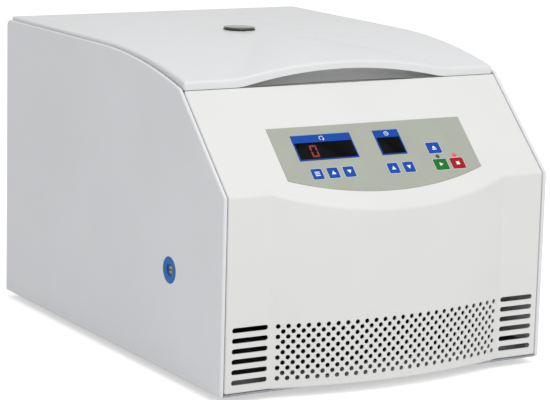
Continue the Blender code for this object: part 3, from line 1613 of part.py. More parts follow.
def power_rocker():
    pivot = (INLET_X, BODY_DEPTH + REAR_REACH - ROCKER_PIVOT_IN - ROCKER_FACE, SWITCH_Z)
    turn = frame("rocker_axis", pivot, ROOT, (-ROCKER_TILT, 0, 0))
    half = ROCKER_HEIGHT / 2
    dip = half * math.tan(ROCKER_TILT)
    outline = [
        (ROCKER_FACE - dip, 0),
        (ROCKER_FACE, half),
        (-ROCKER_FACE / 2, half),
        (-ROCKER_FACE, half / 2),
        (-ROCKER_FACE, -half / 2),
        (-ROCKER_FACE / 2, -half),
        (ROCKER_FACE, -half),
    ]
    rocker = slab(outline, -ROCKER_WIDTH / 2, ROCKER_WIDTH / 2, ALONG_X)
    place(rocker, "power_rocker", BLACK, turn)


def drive_posts():
    half_wide = DRIVE_WIDTH / 2 - DRIVE_POST_INSET
    half_long = DRIVE_LENGTH / 2 - DRIVE_POST_INSET
    return [
        (DRIVE_X + x, DRIVE_Y + y)
        for y in (-half_long, half_long)
        for x in (-half_wide, half_wide)
    ]


def drive_board():
    low = BASE_WALL + DRIVE_STANDOFF + CLEAR
    top = low + DRIVE_WALL
    foot = top - DRIVE_WALL / 2
    left, front = DRIVE_X - DRIVE_WIDTH / 2, DRIVE_Y - DRIVE_LENGTH / 2
    right, back = DRIVE_X + DRIVE_WIDTH / 2, DRIVE_Y + DRIVE_LENGTH / 2
    board = place(block((left, right), (front, back), (low, top)), "drive_board", BOARD)
    spots = [
        (left + CAPACITOR_EDGE, back - CAPACITOR_EDGE - i * CAPACITOR_PITCH)
        for i in range(CAPACITORS)
    ]
    additions = [
        rod(CAPACITOR_RADIUS, foot, top + CAPACITOR_HEIGHT, 12, centre=spot)
        for spot in spots
    ]
    gap = DRIVE_POST_INSET
    additions.append(
        block(
            (right - gap - COIL_WIDTH, right - gap),
            (back - gap - COIL_WIDTH, back - gap),
            (foot, top + COIL_HEIGHT),
        )
    )
    sink_left, sink_front = right - gap - SINK_WIDTH, front + gap
    sink = place(
        block(
            (sink_left, sink_left + SINK_WIDTH),
            (sink_front, sink_front + SINK_LENGTH),
            (foot, top + SINK_BASE),
        ),
        "sink_base",
    )
    pitch = (SINK_WIDTH - SINK_FIN) / (SINK_FINS - 1)
    fins = merged(
        block(
            (sink_left + i * pitch, sink_left + i * pitch + SINK_FIN),
            (sink_front, sink_front + SINK_LENGTH),
            (top + SINK_BASE / 2, top + SINK_HEIGHT),
        )
        for i in range(SINK_FINS)
    )
    join(sink, place(fins, "sink_fins", weld=False))
    join(board, place(merged(additions), "drive_parts", weld=False), sink)


def centrifuge():
    side_panels()
    base_plate()
    feet()
    front_panel()
    rear_panel()
    top_deck()
    chamber()
    motor()
    rotor_yoke()
    rotor_nut()
    buckets()
    trim = above_lid()
    lid_shell()
    lid_liner(trim)
    window()
    hinge("left", -HINGE_X)
    hinge("right", HINGE_X)
    striker(trim)
    lock()
    release()
    control_panel()
    control_board()
    power_inlet()
    power_rocker()
    drive_board()


centrifuge()
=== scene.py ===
"""Low-speed bench centrifuge: mouldings, perforated front, control panel, rotor and finishes.

Lengths are metres. A piece of the housing is drawn from the middle of the front edge of the base
plate, as the solids are: x to the right, y to the back, z up.
"""

import math

import bmesh
import bpy
from mathutils import Matrix, Vector


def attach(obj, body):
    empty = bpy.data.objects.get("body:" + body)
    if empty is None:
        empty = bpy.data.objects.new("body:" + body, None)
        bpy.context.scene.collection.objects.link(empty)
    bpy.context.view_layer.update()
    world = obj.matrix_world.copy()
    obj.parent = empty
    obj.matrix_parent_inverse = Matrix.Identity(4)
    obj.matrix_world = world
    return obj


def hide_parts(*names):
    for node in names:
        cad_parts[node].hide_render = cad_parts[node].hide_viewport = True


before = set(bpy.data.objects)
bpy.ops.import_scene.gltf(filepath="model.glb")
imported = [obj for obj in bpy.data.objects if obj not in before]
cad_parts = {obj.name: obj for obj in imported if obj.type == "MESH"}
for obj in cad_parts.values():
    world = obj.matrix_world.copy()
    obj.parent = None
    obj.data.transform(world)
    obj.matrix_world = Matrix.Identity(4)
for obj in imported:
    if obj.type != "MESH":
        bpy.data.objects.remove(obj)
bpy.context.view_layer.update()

MM = 0.001
CLEAR = 0.3 * MM
OVER = 6 * MM
WELD = 0.001 * MM
FINE = 96

# Housing
HALF_WIDTH = 225 * MM
INNER_HALF = 220 * MM
FITTED_HALF = 219.7 * MM
MOULD_HALF = 219 * MM
LID_HALF = 218 * MM
BODY_DEPTH = 600 * MM
FRONT_Y = -289.75 * MM
FRONT_HEIGHT = 231.3 * MM
RIM_HEIGHT = 368.5 * MM
RIM_RADIUS = 786 * MM
RIM_ARC_END = 320 * MM
SLOPE_DEPTH = 112.5 * MM
ABOVE_SLOPE = 400 * MM
REAR_CORNER = 8 * MM
REAR_INSIDE = 596.7 * MM
REAR_TOP = 350 * MM
FOOT_HEIGHT = 9 * MM

# Front moulding
MOULD_WALL = 3 * MM
GRILLE_WALL = 1.6 * MM
MOULD_FLANGE = 16 * MM
MOULD_LOW = 3 * MM
MOULD_TOP = 109.5 * MM
MOULD_BACK = 111.7 * MM
BULGE_HALF = 161 * MM
BULGE_OUT = 24 * MM
BULGE_RADIUS = (BULGE_HALF**2 + BULGE_OUT**2) / (2 * BULGE_OUT)
BULGE_CENTRE = BULGE_RADIUS - BULGE_OUT
BULGE_BLEND = 12 * MM
VENT_HOLE = 5.8 * MM
VENT_STEP = 6.15 * MM
VENT_TOP_ROW = 77.4 * MM
VENT_ROWS = 11
VENT_HALF_COLUMNS = 25
LOUVRE_INNER = 163.5 * MM
LOUVRE_OUTER = 211 * MM
LOUVRE_HEIGHT = 6.1 * MM
LOUVRE_ROWS = 6

# Deck and chamber
DECK_TOP = 335 * MM
DECK_WALL = 2 * MM
GUTTER_FLOOR = 320 * MM
GUTTER_BACK = 139 * MM
AXIS_Y = 370 * MM
BOWL_RADIUS = 190 * MM
BOWL_FLANGE = 205 * MM
BOWL_WALL = 2 * MM
BOWL_FLOOR = 173 * MM
BOWL_FILLET = 22 * MM
BOWL_HOLE = 28 * MM

# Rotor
PIVOT_Z = 290 * MM
PIVOT_RADIUS = 82 * MM
HUB_RADIUS = 28 * MM
HUB_LOW = 264 * MM
HUB_TOP = 303 * MM
BUCKET_RADIUS = 33 * MM
BUCKET_WALL = 2 * MM
BUCKET_BELOW = 93 * MM
BUCKET_ABOVE = 25 * MM
BOSS_OUT = 5.5 * MM
PIN_RADIUS = 4 * MM

# Lid
LID_FRONT = 112.4 * MM
LID_PROUD = 4 * MM
LID_FRONT_MORE = 3.6 * MM
LID_WALL = 2.5 * MM
LID_ROUND = 3 * MM
LID_SIDE_SKIRT = 10 * MM
LID_LIP = 6.4 * MM
LID_REAR_EDGE = 360 * MM
LID_TOP = RIM_HEIGHT + LID_PROUD
ARCH_HALF = 142 * MM
ARCH_RISE = 16.5 * MM
HUMP_HALF = 148 * MM
HUMP_RISE = 15.5 * MM
HUMP_LENGTH = 205 * MM
HUMP_NARROW = 26 * MM
LINER_LOW = 345 * MM
LINER_RADIUS = 208 * MM
LINER_WALL = 2 * MM
WINDOW_HEAD = 20.5 * MM
WINDOW_SHANK = 17.5 * MM

# Emergency release
RELEASE_Y = 128.4 * MM
RELEASE_Z = 123.6 * MM
RELEASE_RADIUS = 16 * MM

# Control panel, measured up the slope
OVERLAY_HALF = 135 * MM
OVERLAY_TOP = 91.5 * MM
OVERLAY_SIDE = 17 * MM
OVERLAY_DIP = 24 * MM
OVERLAY_LOW = -0.5 * MM
OVERLAY_HIGH = 0.3 * MM
KEY_TOP = 0.8 * MM
KEY_LOW = -7.5 * MM
WINDOW_ROW = 61 * MM
WINDOW_HEIGHT = 36 * MM
LAMP_ROW = 35.4 * MM
LAMP_RADIUS = 2.5 * MM
KEY_ROW = 23.5 * MM
OPEN_ROW = 48.1 * MM
START_X = 80 * MM
STOP_X = 103.8 * MM
KEY_HOLE_CORNER = 1.4 * MM
PANE_TOP = 0.5 * MM
PRINT = 0.08 * MM

# Rear panel and power inlet
REAR_WALL = 3 * MM
SLOT_X = 150 * MM
SLOT_STEP = 15 * MM
SLOT_LOW = 210 * MM
SLOT_HIGH = 256 * MM
SLOT_WIDTH = 5 * MM
INLET_X = 150 * MM
INLET_Z = 70 * MM
INLET_PROUD = 3.5 * MM
SCREW_HEAD = 3.6 * MM
SCREW_RISE = 1.6 * MM

ALONG_X = Matrix(((0, 0, 1, 0), (1, 0, 0, 0), (0, 1, 0, 0), (0, 0, 0, 1)))
ALONG_Y = Matrix(((1, 0, 0, 0), (0, 0, 1, 0), (0, 1, 0, 0), (0, 0, 0, 1)))


def rim(y):
    """Height of the side panel's top edge."""
    ahead = max(0, RIM_ARC_END - y)
    return RIM_HEIGHT - RIM_RADIUS + math.sqrt(RIM_RADIUS**2 - ahead**2)


SLOPE = math.atan2(rim(SLOPE_DEPTH) - FRONT_HEIGHT, SLOPE_DEPTH)
SLOPE_NORMAL = Vector((0, -math.sin(SLOPE), math.cos(SLOPE)))
HOME = Matrix.Translation((0, FRONT_Y, FOOT_HEIGHT))
SLOPE_AT = HOME @ Matrix.Translation((0, 0, FRONT_HEIGHT)) @ Matrix.Rotation(SLOPE, 4, "X")
AXIS_AT = HOME @ Matrix.Translation((0, AXIS_Y, 0))


def slope_height(y, drop=0):
    """Height of the sloping front at y, or of the face that lies drop inside it."""
    return FRONT_HEIGHT + y * math.tan(SLOPE) - drop / math.cos(SLOPE)


# Camera


def look_from(azimuth, elevation, roll, distance, target, lens):
    """A camera that looks at the target, turned a little about its own line of sight."""
    a, e, r = (math.radians(value) for value in (azimuth, elevation, roll))
    back = Vector((math.sin(a) * math.cos(e), -math.cos(a) * math.cos(e), math.sin(e)))
    level = (-back).cross(Vector((0, 0, 1))).normalized()
    top = level.cross(-back)
    right = level * math.cos(r) + top * math.sin(r)
    up = top * math.cos(r) - level * math.sin(r)
    data = bpy.data.cameras.new("camera")
    data.lens = lens
    data.sensor_width = 36
    made = bpy.data.objects.new("camera", data)
    turn = Matrix((right, up, back)).transposed().to_4x4()
    made.matrix_world = Matrix.Translation(target + back * distance) @ turn
    bpy.context.scene.collection.objects.link(made)
    bpy.context.scene.camera = made


look_from(-30.656, 10.813, 1.483, 2.9334, Vector((0.007, -0.00975, 0.1722)), 150.05)


# Finishes


def srgb(red, green, blue):
    """A colour as it is seen, 0 to 255, in the linear values that a shader takes."""
    values = []
    for value in (red, green, blue):
        share = value / 255
        linear = share / 12.92 if share <= 0.04045 else ((share + 0.055) / 1.055) ** 2.4
        values.append(linear)
    return (*values, 1)


def noise(tree, where, scale, detail=2):
    made = tree.nodes.new("ShaderNodeTexNoise")
    made.inputs["Scale"].default_value = scale
    made.inputs["Detail"].default_value = detail
    tree.links.new(where, made.inputs["Vector"])
    return made.outputs["Fac"]


def spread(tree, value, low, high):
    """A noise value stretched to run between two values."""
    made = tree.nodes.new("ShaderNodeMapRange")
    made.inputs["From Min"].default_value = 0.3
    made.inputs["From Max"].default_value = 0.7
    made.inputs["To Min"].default_value = low
    made.inputs["To Max"].default_value = high
    tree.links.new(value, made.inputs["Value"])
    return made.outputs["Result"]


def around_axis(tree, where):
    """Coordinates that change quickly out from the axis and up it, as turning marks do."""
    split = tree.nodes.new("ShaderNodeSeparateXYZ")
    tree.links.new(where, split.inputs["Vector"])
    flat = tree.nodes.new("ShaderNodeCombineXYZ")
    tree.links.new(split.outputs["X"], flat.inputs["X"])
    tree.links.new(split.outputs["Y"], flat.inputs["Y"])
    length = tree.nodes.new("ShaderNodeVectorMath")
    length.operation = "LENGTH"
    tree.links.new(flat.outputs["Vector"], length.inputs[0])
    rings = tree.nodes.new("ShaderNodeCombineXYZ")
    tree.links.new(length.outputs["Value"], rings.inputs["X"])
    tree.links.new(split.outputs["Z"], rings.inputs["Z"])
    return rings.outputs["Vector"]


def finish(
    slot, colour, roughness, metallic=0, vary=0.03, patch=7, grain=900, bump=0.05, marks=False
):
    """A finish for one of the record's slots: drifting colour, uneven gloss and a fine grain."""
    made = bpy.data.materials.new(slot + "_finish")
    made.use_nodes = True
    made["slot"] = slot
    made.diffuse_color = colour
    tree = made.node_tree
    shader = tree.nodes["Principled BSDF"]
    shader.inputs["Metallic"].default_value = metallic
    where = tree.nodes.new("ShaderNodeTexCoord").outputs["Object"]
    fine = around_axis(tree, where) if marks else where

    tint = tree.nodes.new("ShaderNodeMix")
    tint.data_type = "RGBA"
    tint.inputs["A"].default_value = tuple(min(1, part * (1 - vary)) for part in colour)
    tint.inputs["B"].default_value = tuple(min(1, part * (1 + vary)) for part in colour)
    tree.links.new(spread(tree, noise(tree, where, patch, 4), 0, 1), tint.inputs["Factor"])
    tree.links.new(tint.outputs["Result"], shader.inputs["Base Color"])

    texture = noise(tree, fine, grain)
    gloss = spread(tree, noise(tree, where, patch * 5, 3), roughness * 0.85, roughness * 1.15)
    tree.links.new(gloss, shader.inputs["Roughness"])
    relief = tree.nodes.new("ShaderNodeBump")
    relief.inputs["Strength"].default_value = bump
    relief.inputs["Distance"].default_value = 0.1 * MM
    tree.links.new(texture, relief.inputs["Height"])
    tree.links.new(relief.outputs["Normal"], shader.inputs["Normal"])
    return made


ENAMEL = finish("cream_enamel", srgb(226, 227, 230), 0.42, vary=0.02, grain=650, bump=0.12)
MOULDING = finish("front_moulding", srgb(224, 224, 222), 0.4, vary=0.015, grain=800, bump=0.08)
LID = finish("lid_plastic", srgb(224, 225, 226), 0.36, vary=0.015, grain=800, bump=0.06)
# Deck paint: its own grey, made darker and olive as painted shade of the gutter under the lid
DECK_PAINT_AND_SHADE = finish("deck_paint", srgb(205, 206, 200), 0.45, vary=0.03, grain=650, bump=0.12)
ZINC = finish(
    "zinc_sheet", srgb(168, 172, 176), 0.42, 0.9, vary=0.12, patch=60, grain=400, bump=0.08
)
STAINLESS = finish(
    "stainless",
    srgb(196, 197, 196),
    0.24,
    1,
    vary=0.05,
    patch=12,
    grain=1800,
    bump=0.25,
    marks=True,
)
STEEL = finish(
    "bright_steel", srgb(200, 200, 202), 0.2, 1, vary=0.05, patch=40, grain=1500, bump=0.15
)
ALUMINIUM = finish(
    "aluminium", srgb(190, 191, 194), 0.36, 1, vary=0.06, patch=30, grain=900, bump=0.3
)
BRASS = finish("brass", srgb(196, 160, 84), 0.3, 1, vary=0.1, patch=120, grain=2500, bump=0.2)
RUBBER = finish("rubber", srgb(42, 42, 42), 0.75, vary=0.15, patch=50, grain=1800, bump=0.4)
GLASS = finish("window_glass", srgb(92, 96, 80), 0.07, vary=0.08, patch=20, grain=300, bump=0.02)
FILM = finish("overlay_film", srgb(165, 169, 157), 0.5, vary=0.03, patch=25, grain=2400, bump=0.15)
DISPLAY = finish("display_glass", srgb(9, 8, 10), 0.16, vary=0.15, patch=40, grain=600, bump=0.02)
BLUE = finish("blue_key", srgb(8, 72, 168), 0.38, vary=0.06, patch=90, grain=2600, bump=0.12)
GREEN = finish("green_key", srgb(16, 116, 34), 0.38, vary=0.06, patch=90, grain=2600, bump=0.12)
RED = finish("red_key", srgb(166, 8, 24), 0.38, vary=0.06, patch=90, grain=2600, bump=0.12)
BUSHING = finish(
    "blue_bushing", srgb(20, 104, 182), 0.35, vary=0.06, patch=90, grain=1800, bump=0.15
)
LAMP_DARK = finish("lamp_green", srgb(62, 74, 64), 0.2, vary=0.1, patch=200, grain=2500, bump=0.05)
LAMP_LIT = finish("lamp_red", srgb(250, 60, 50), 0.25, vary=0.06, patch=200, grain=2500, bump=0.05)
BLACK = finish("black_plastic", srgb(34, 34, 36), 0.45, vary=0.12, patch=40, grain=1400, bump=0.3)
BOARD = finish("circuit_board", srgb(36, 96, 62), 0.5, vary=0.12, patch=160, grain=1500, bump=0.2)
WHITE = finish("overlay_film", srgb(240, 242, 240), 0.5, vary=0.02, patch=90, grain=2400, bump=0.1)
BORDER = finish(
    "overlay_film", srgb(206, 214, 220), 0.45, vary=0.03, patch=90, grain=2400, bump=0.1
)
DIGIT = finish("lamp_red", srgb(142, 14, 20), 0.4, vary=0.1, patch=300, grain=2500, bump=0.05)
GLASS.node_tree.nodes["Principled BSDF"].inputs["Transmission Weight"].default_value = 0.6
GLASS.node_tree.nodes["Principled BSDF"].inputs["IOR"].default_value = 1.49
for look, share in (
    (DISPLAY, 0.03),
    (BLUE, 0.12),
    (GREEN, 0.12),
    (RED, 0.12),
    (BUSHING, 0.2),
):
    look.node_tree.nodes["Principled BSDF"].inputs["Specular IOR Level"].default_value = share
LIT = LAMP_LIT.node_tree.nodes["Principled BSDF"]
LIT.inputs["Emission Color"].default_value = srgb(255, 40, 30)
LIT.inputs["Emission Strength"].default_value = 0.35


# Mesh tools


def place(bm, name, look, body="housing", at=HOME, sharp=35):
    """A finished piece that rides on a body. With no body it is a cutter."""
    bmesh.ops.recalc_face_normals(bm, faces=bm.faces)
    mesh = bpy.data.meshes.new(name)
    bm.to_mesh(mesh)
    bm.free()
    made = bpy.data.objects.new(name, mesh)
    made.matrix_world = at
    bpy.context.scene.collection.objects.link(made)
    mesh.shade_smooth()
    mesh.set_sharp_from_angle(angle=math.radians(sharp))
    if body:
        mesh.materials.append(look)
        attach(made, body)
    return made


def settle(item, sharp=None):
    """Puts the result of the modifiers into the mesh."""
    graph = bpy.context.evaluated_depsgraph_get()
    mesh = bpy.data.meshes.new_from_object(item.evaluated_get(graph), depsgraph=graph)
    item.modifiers.clear()
    item.data = mesh
    if sharp:
        mesh.shade_smooth()
        mesh.set_sharp_from_angle(angle=math.radians(sharp))


def soften(item, width, segments=3, angle=40):
    """Rounds the edges that turn by more than an angle."""
    step = item.modifiers.new("edges", "BEVEL")
    step.width = width
    step.segments = segments
    step.limit_method = "ANGLE"
    step.angle_limit = math.radians(angle)
    settle(item, 35)


def cut(item, bm, operation="DIFFERENCE", at=HOME):
    cutter = place(bm, "cutter", None, None, at)
    step = item.modifiers.new("cut", "BOOLEAN")
    step.operation = operation
    step.object = cutter
    step.solver = "EXACT"
    settle(item, 35)
    mesh = cutter.data
    bpy.data.objects.remove(cutter)
    bpy.data.meshes.remove(mesh)


def even(item, sharp=35):
    """Shades large faces flat and lets the rounded edges carry the turn."""
    item.data.shade_smooth()
    item.data.set_sharp_from_angle(angle=math.radians(sharp))
    step = item.modifiers.new("shading", "WEIGHTED_NORMAL")
    step.keep_sharp = True
    settle(item)


def block(x, y, z):
    """A box between the low and high values of each axis."""
    bm = bmesh.new()
    bmesh.ops.create_cube(bm, size=1)
    sizes = [high - low for low, high in (x, y, z)]
    middle = [(low + high) / 2 for low, high in (x, y, z)]
    bmesh.ops.scale(bm, vec=sizes, verts=bm.verts)
    bmesh.ops.translate(bm, vec=middle, verts=bm.verts)
    return bm


def slab(outline, low, high, direction=None):
    """A flat outline with a thickness from low to high."""
    bm = bmesh.new()
    face = bm.faces.new([bm.verts.new((a, b, low)) for a, b in outline])
    raised = bmesh.ops.extrude_face_region(bm, geom=[face])
    verts = [v for v in raised["geom"] if isinstance(v, bmesh.types.BMVert)]
    bmesh.ops.translate(bm, vec=(0, 0, high - low), verts=verts)
    if direction:
        bmesh.ops.transform(bm, matrix=direction, verts=bm.verts)
    return bm


def arc(centre, radius, start, end, steps):
    """Points on an arc in degrees, from start to end."""
    points = []
    for i in range(steps + 1):
        angle = math.radians(start + (end - start) * i / steps)
        points.append((centre[0] + radius * math.cos(angle), centre[1] + radius * math.sin(angle)))
    return points


def eased(points, radius, closed=True, steps=4):
    """The same outline with its corners rounded off."""
    made = []
    count = len(points)
    for i, point in enumerate(points):
        if not closed and i in (0, count - 1):
            made.append(point)
            continue
        here = Vector(point)
        before = Vector(points[i - 1]) - here
        after = Vector(points[(i + 1) % count]) - here
        first = here + before.normalized() * min(radius, before.length * 0.45)
        last = here + after.normalized() * min(radius, after.length * 0.45)
        for k in range(steps + 1):
            share = k / steps
            near = first.lerp(here, share)
            far = here.lerp(last, share)
            made.append(tuple(near.lerp(far, share)))
    return made


def rectangle(width, height, corner, centre=(0, 0), steps=4):
    a, b = width / 2, height / 2
    x, y = centre
    corners = [(x + a, y + b), (x - a, y + b), (x - a, y - b), (x + a, y - b)]
    return eased(corners, corner, steps=steps)


def stadium(left, right, height, centre, steps=8):
    """Outline of a slot with round ends."""
    radius = height / 2
    ends = arc((right - radius, centre), radius, -90, 90, steps)
    return ends + arc((left + radius, centre), radius, 90, 270, steps)


def turned(profile, sides=FINE, closed=True, centre=(0, 0)):
    """A profile of radius and height, turned about the upright axis."""
    bm = bmesh.new()
    rings = []
    for radius, z in profile:
        if radius < WELD:
            rings.append([bm.verts.new((centre[0], centre[1], z))])
            continue
        ring = []
        for i in range(sides):
            angle = 2 * math.pi * i / sides
            spot = (centre[0] + radius * math.cos(angle), centre[1] + radius * math.sin(angle), z)
            ring.append(bm.verts.new(spot))
        rings.append(ring)
    pairs = list(zip(rings, rings[1:]))
    if closed:
        pairs.append((rings[-1], rings[0]))
    for low, high in pairs:
        for i in range(sides):
            j = (i + 1) % sides
            first = (low[i % len(low)], low[j % len(low)])
            second = (high[j % len(high)], high[i % len(high)])
            corners = []
            for vert in first + second:
                if vert not in corners:
                    corners.append(vert)
            if len(corners) > 2:
                bm.faces.new(corners)
    return bm


def rod(radius, low, high, sides=24, centre=(0, 0), direction=None):
    bm = turned([(0, low), (radius, low), (radius, high), (0, high)], sides, False, centre)
    if direction:
        bmesh.ops.transform(bm, matrix=direction, verts=bm.verts)
    return bm


def merged(shapes):
    """Several separate shapes as one mesh."""
    whole = bmesh.new()
    for bm in shapes:
        bmesh.ops.recalc_face_normals(bm, faces=bm.faces)
        mesh = bpy.data.meshes.new("shape")
        bm.to_mesh(mesh)
        bm.free()
        whole.from_mesh(mesh)
        bpy.data.meshes.remove(mesh)
    return whole


def moved(bm, matrix):
    bmesh.ops.transform(bm, matrix=matrix, verts=bm.verts)
    return bm


# Housing


def side_outline():
    outline = [(0, 0), (0, FRONT_HEIGHT)]
    steps = 36
    for i in range(steps + 1):
        y = SLOPE_DEPTH + (RIM_ARC_END - SLOPE_DEPTH) * i / steps
        outline.append((y, rim(y)))
    corner = (BODY_DEPTH - REAR_CORNER, RIM_HEIGHT - REAR_CORNER)
    outline += arc(corner, REAR_CORNER, 90, 0, 8)
    outline.append((BODY_DEPTH, 0))
    return outline


def side_panels():
    for name, low, high in (
        ("left_side_panel", -HALF_WIDTH, -INNER_HALF),
        ("right_side_panel", INNER_HALF, HALF_WIDTH),
    ):
        panel = place(slab(side_outline(), low, high, ALONG_X), f"{name}_skin", ENAMEL)
        edge = 2.2 * MM
        soften(panel, edge, 5, 60)
        if low < 0:
            centre = (RELEASE_Y, RELEASE_Z)
            radius = RELEASE_RADIUS + CLEAR
            cut(panel, rod(radius, low - OVER, high + OVER, 48, centre, ALONG_X))
        even(panel)
        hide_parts(name)


def footprint():
    """The front from above: flat wings, and the bulge's arc with a soft hollow beside it."""
    far = BULGE_RADIUS + BULGE_BLEND
    side = math.sqrt(far**2 - (BULGE_CENTRE + BULGE_BLEND) ** 2)
    end = math.asin(side / far)
    half = []
    step = VENT_STEP / BULGE_RADIUS
    count = int(end / step + 0.5)
    for k in range(count):
        angle = (k + 0.5) * step
        if angle < end:
            x = BULGE_RADIUS * math.sin(angle)
            half.append((x, BULGE_CENTRE - BULGE_RADIUS * math.cos(angle)))
    steps = 8
    for i in range(steps + 1):
        angle = end * (1 - i / steps)
        x = side - BULGE_BLEND * math.sin(angle)
        half.append((x, BULGE_BLEND * math.cos(angle) - BULGE_BLEND))
    half.append((MOULD_HALF, 0))
    return [(-x, y) for x, y in reversed(half)] + half


def under_slope(bm, drop=0):
    """Cuts a shape off along the slope, or along the plane that lies drop inside it."""
    top = Vector((0, 0, FRONT_HEIGHT)) - SLOPE_NORMAL * drop
    everything = bm.verts[:] + bm.edges[:] + bm.faces[:]
    sliced = bmesh.ops.bisect_plane(
        bm, geom=everything, plane_co=top, plane_no=SLOPE_NORMAL, clear_outer=True
    )
    edges = [e for e in sliced["geom_cut"] if isinstance(e, bmesh.types.BMEdge)]
    bmesh.ops.edgenet_fill(bm, edges=edges)
    return bm


def vent_holes():
    sides = 14
    shapes = []
    step = VENT_STEP / BULGE_RADIUS
    for row in range(VENT_ROWS):
        z = VENT_TOP_ROW - row * VENT_STEP
        for column in range(-VENT_HALF_COLUMNS + row % 2, VENT_HALF_COLUMNS + 1, 2):
            angle = column * step
            direction = Vector((math.sin(angle), -math.cos(angle), 0))
            middle = Vector((0, BULGE_CENTRE, z)) + direction * (BULGE_RADIUS - MOULD_WALL / 2)
            turn = direction.to_track_quat("Z", "Y").to_matrix().to_4x4()
            hole = rod(VENT_HOLE / 2, -MOULD_WALL, MOULD_WALL, sides)
            shapes.append(moved(hole, Matrix.Translation(middle) @ turn))
    return merged(shapes)


def louvres():
    shapes = []
    for row in range(LOUVRE_ROWS):
        z = VENT_TOP_ROW - 2 * row * VENT_STEP
        for left, right in ((LOUVRE_INNER, LOUVRE_OUTER), (-LOUVRE_OUTER, -LOUVRE_INNER)):
            outline = stadium(left, right, LOUVRE_HEIGHT, z)
            shapes.append(slab(outline, -OVER, MOULD_WALL + OVER, ALONG_Y))
    return merged(shapes)


def overlay_outline(grow, steps=40):
    half = OVERLAY_HALF + grow
    side = OVERLAY_SIDE - grow
    radius = (half**2 + OVERLAY_DIP**2) / (2 * OVERLAY_DIP)
    span = math.degrees(math.asin(half / radius))
    centre = (0, side - OVERLAY_DIP + radius)
    top = OVERLAY_TOP + grow
    return [(half, top), (-half, top)] + arc(centre, radius, -90 - span, -90 + span, steps)


SMALL = (14.2 * MM, 14.3 * MM)
WIDE = (18.3 * MM, 15.4 * MM)
KEYS = [
    ("key_set", -93 * MM, KEY_ROW, SMALL, BLUE, "list"),
    ("key_speed_up", -71.2 * MM, KEY_ROW, SMALL, BLUE, "up"),
    ("key_speed_down", -49.4 * MM, KEY_ROW, SMALL, BLUE, "down"),
    ("key_time_up", 12 * MM, KEY_ROW, SMALL, BLUE, "up"),
    ("key_time_down", 33.8 * MM, KEY_ROW, SMALL, BLUE, "down"),
    ("key_open", START_X, OPEN_ROW, WIDE, BLUE, "eject"),
    ("key_start", START_X, KEY_ROW, WIDE, GREEN, "play"),
    ("key_stop", STOP_X, KEY_ROW, WIDE, RED, "square"),
]
WINDOWS = [("speed_window", -67.5 * MM, 81 * MM), ("time_window", 23 * MM, 35 * MM)]
LAMPS = [("lamp_ready", START_X, LAMP_DARK), ("lamp_stop", STOP_X, LAMP_LIT)]


def panel_openings(low, high, margin):
    """Cutters for keys, lamps and display windows, between two depths of the slope."""
    shapes = []
    for _, x, s, (width, height), _, _ in KEYS:
        outline = rectangle(width + 2 * CLEAR, height + 2 * CLEAR, KEY_HOLE_CORNER, (x, s))
        shapes.append(slab(outline, low, high))
    for _, x, _ in LAMPS:
        shapes.append(rod(LAMP_RADIUS + CLEAR, low, high, 24, (x, LAMP_ROW)))
    corner = 0.6 * MM
    for _, x, width in WINDOWS:
        height = WINDOW_HEIGHT + 2 * margin
        outline = rectangle(width + 2 * margin, height, corner, (x, WINDOW_ROW))
        shapes.append(slab(outline, low, high))
    return merged(shapes)


def front_panel():
    outline = footprint() + [(MOULD_HALF, MOULD_BACK), (-MOULD_HALF, MOULD_BACK)]
    form = under_slope(slab(outline, MOULD_LOW, ABOVE_SLOPE))
    panel = place(form, "front_moulding_skin", MOULDING)
    edge = 2.4 * MM
    soften(panel, edge, 5, 30)

    deep = 2 * MOULD_FLANGE + MOULD_BACK
    low = -OVER
    behind = [
        (MOULD_FLANGE, low),
        (MOULD_FLANGE, slope_height(MOULD_FLANGE, MOULD_FLANGE)),
        (deep, slope_height(deep, MOULD_FLANGE)),
        (deep, low),
    ]
    cut(panel, slab(behind, -HALF_WIDTH, HALF_WIDTH, ALONG_X))
    top = slope_height(MOULD_TOP)
    above = (top, top + 2 * MOULD_FLANGE)
    cut(panel, block((-HALF_WIDTH, HALF_WIDTH), (MOULD_TOP - OVER, deep), above))
    ledge = MOULD_BACK - MOULD_WALL
    well = 2 * MOULD_FLANGE
    floor = 6 * MM
    hollow = [
        (MOULD_WALL, floor),
        (MOULD_WALL, slope_height(MOULD_WALL, MOULD_WALL)),
        (ledge, slope_height(ledge, MOULD_WALL)),
        (ledge, slope_height(ledge, well)),
        (well, slope_height(well, well)),
        (well, floor),
    ]
    inner = MOULD_HALF - MOULD_WALL
    cut(panel, slab(hollow, -inner, inner, ALONG_X))
    radius = BULGE_RADIUS - MOULD_WALL
    end = math.degrees(math.acos((BULGE_CENTRE - MOULD_WALL) / radius))
    inside = arc((0, BULGE_CENTRE), radius, -90 - end, -90 + end, 50)
    back = MOULD_WALL + MOULD_FLANGE / 2
    inside += [(inside[-1][0], back), (inside[0][0], back)]
    cut(panel, under_slope(slab(inside, floor, ABOVE_SLOPE), MOULD_WALL))
    thin_low, thin_high = 10 * MM, 84 * MM
    radius = BULGE_RADIUS - GRILLE_WALL
    end = math.degrees(math.asin(LOUVRE_INNER / radius))
    thinned = arc((0, BULGE_CENTRE), radius, -90 - end, -90 + end, 60)
    thinned += [(LOUVRE_INNER, back), (-LOUVRE_INNER, back)]
    cut(panel, slab(thinned, thin_low, thin_high))
    wing_inner, wing_outer = LOUVRE_INNER - 4 * MM, LOUVRE_OUTER + 1.5 * MM
    for side in (-1, 1):
        wing = sorted((side * wing_inner, side * wing_outer))
        cut(panel, block(wing, (GRILLE_WALL, back), (thin_low, thin_high)))
    cut(panel, merged([vent_holes(), louvres()]))
    recess, window_ledge = 0.8 * MM, 5 * MM
    cut(panel, slab(overlay_outline(CLEAR), -recess, OVER), at=SLOPE_AT)
    cut(panel, panel_openings(-OVER, OVER, -window_ledge), at=SLOPE_AT)
    even(panel)
    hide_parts("front_panel")


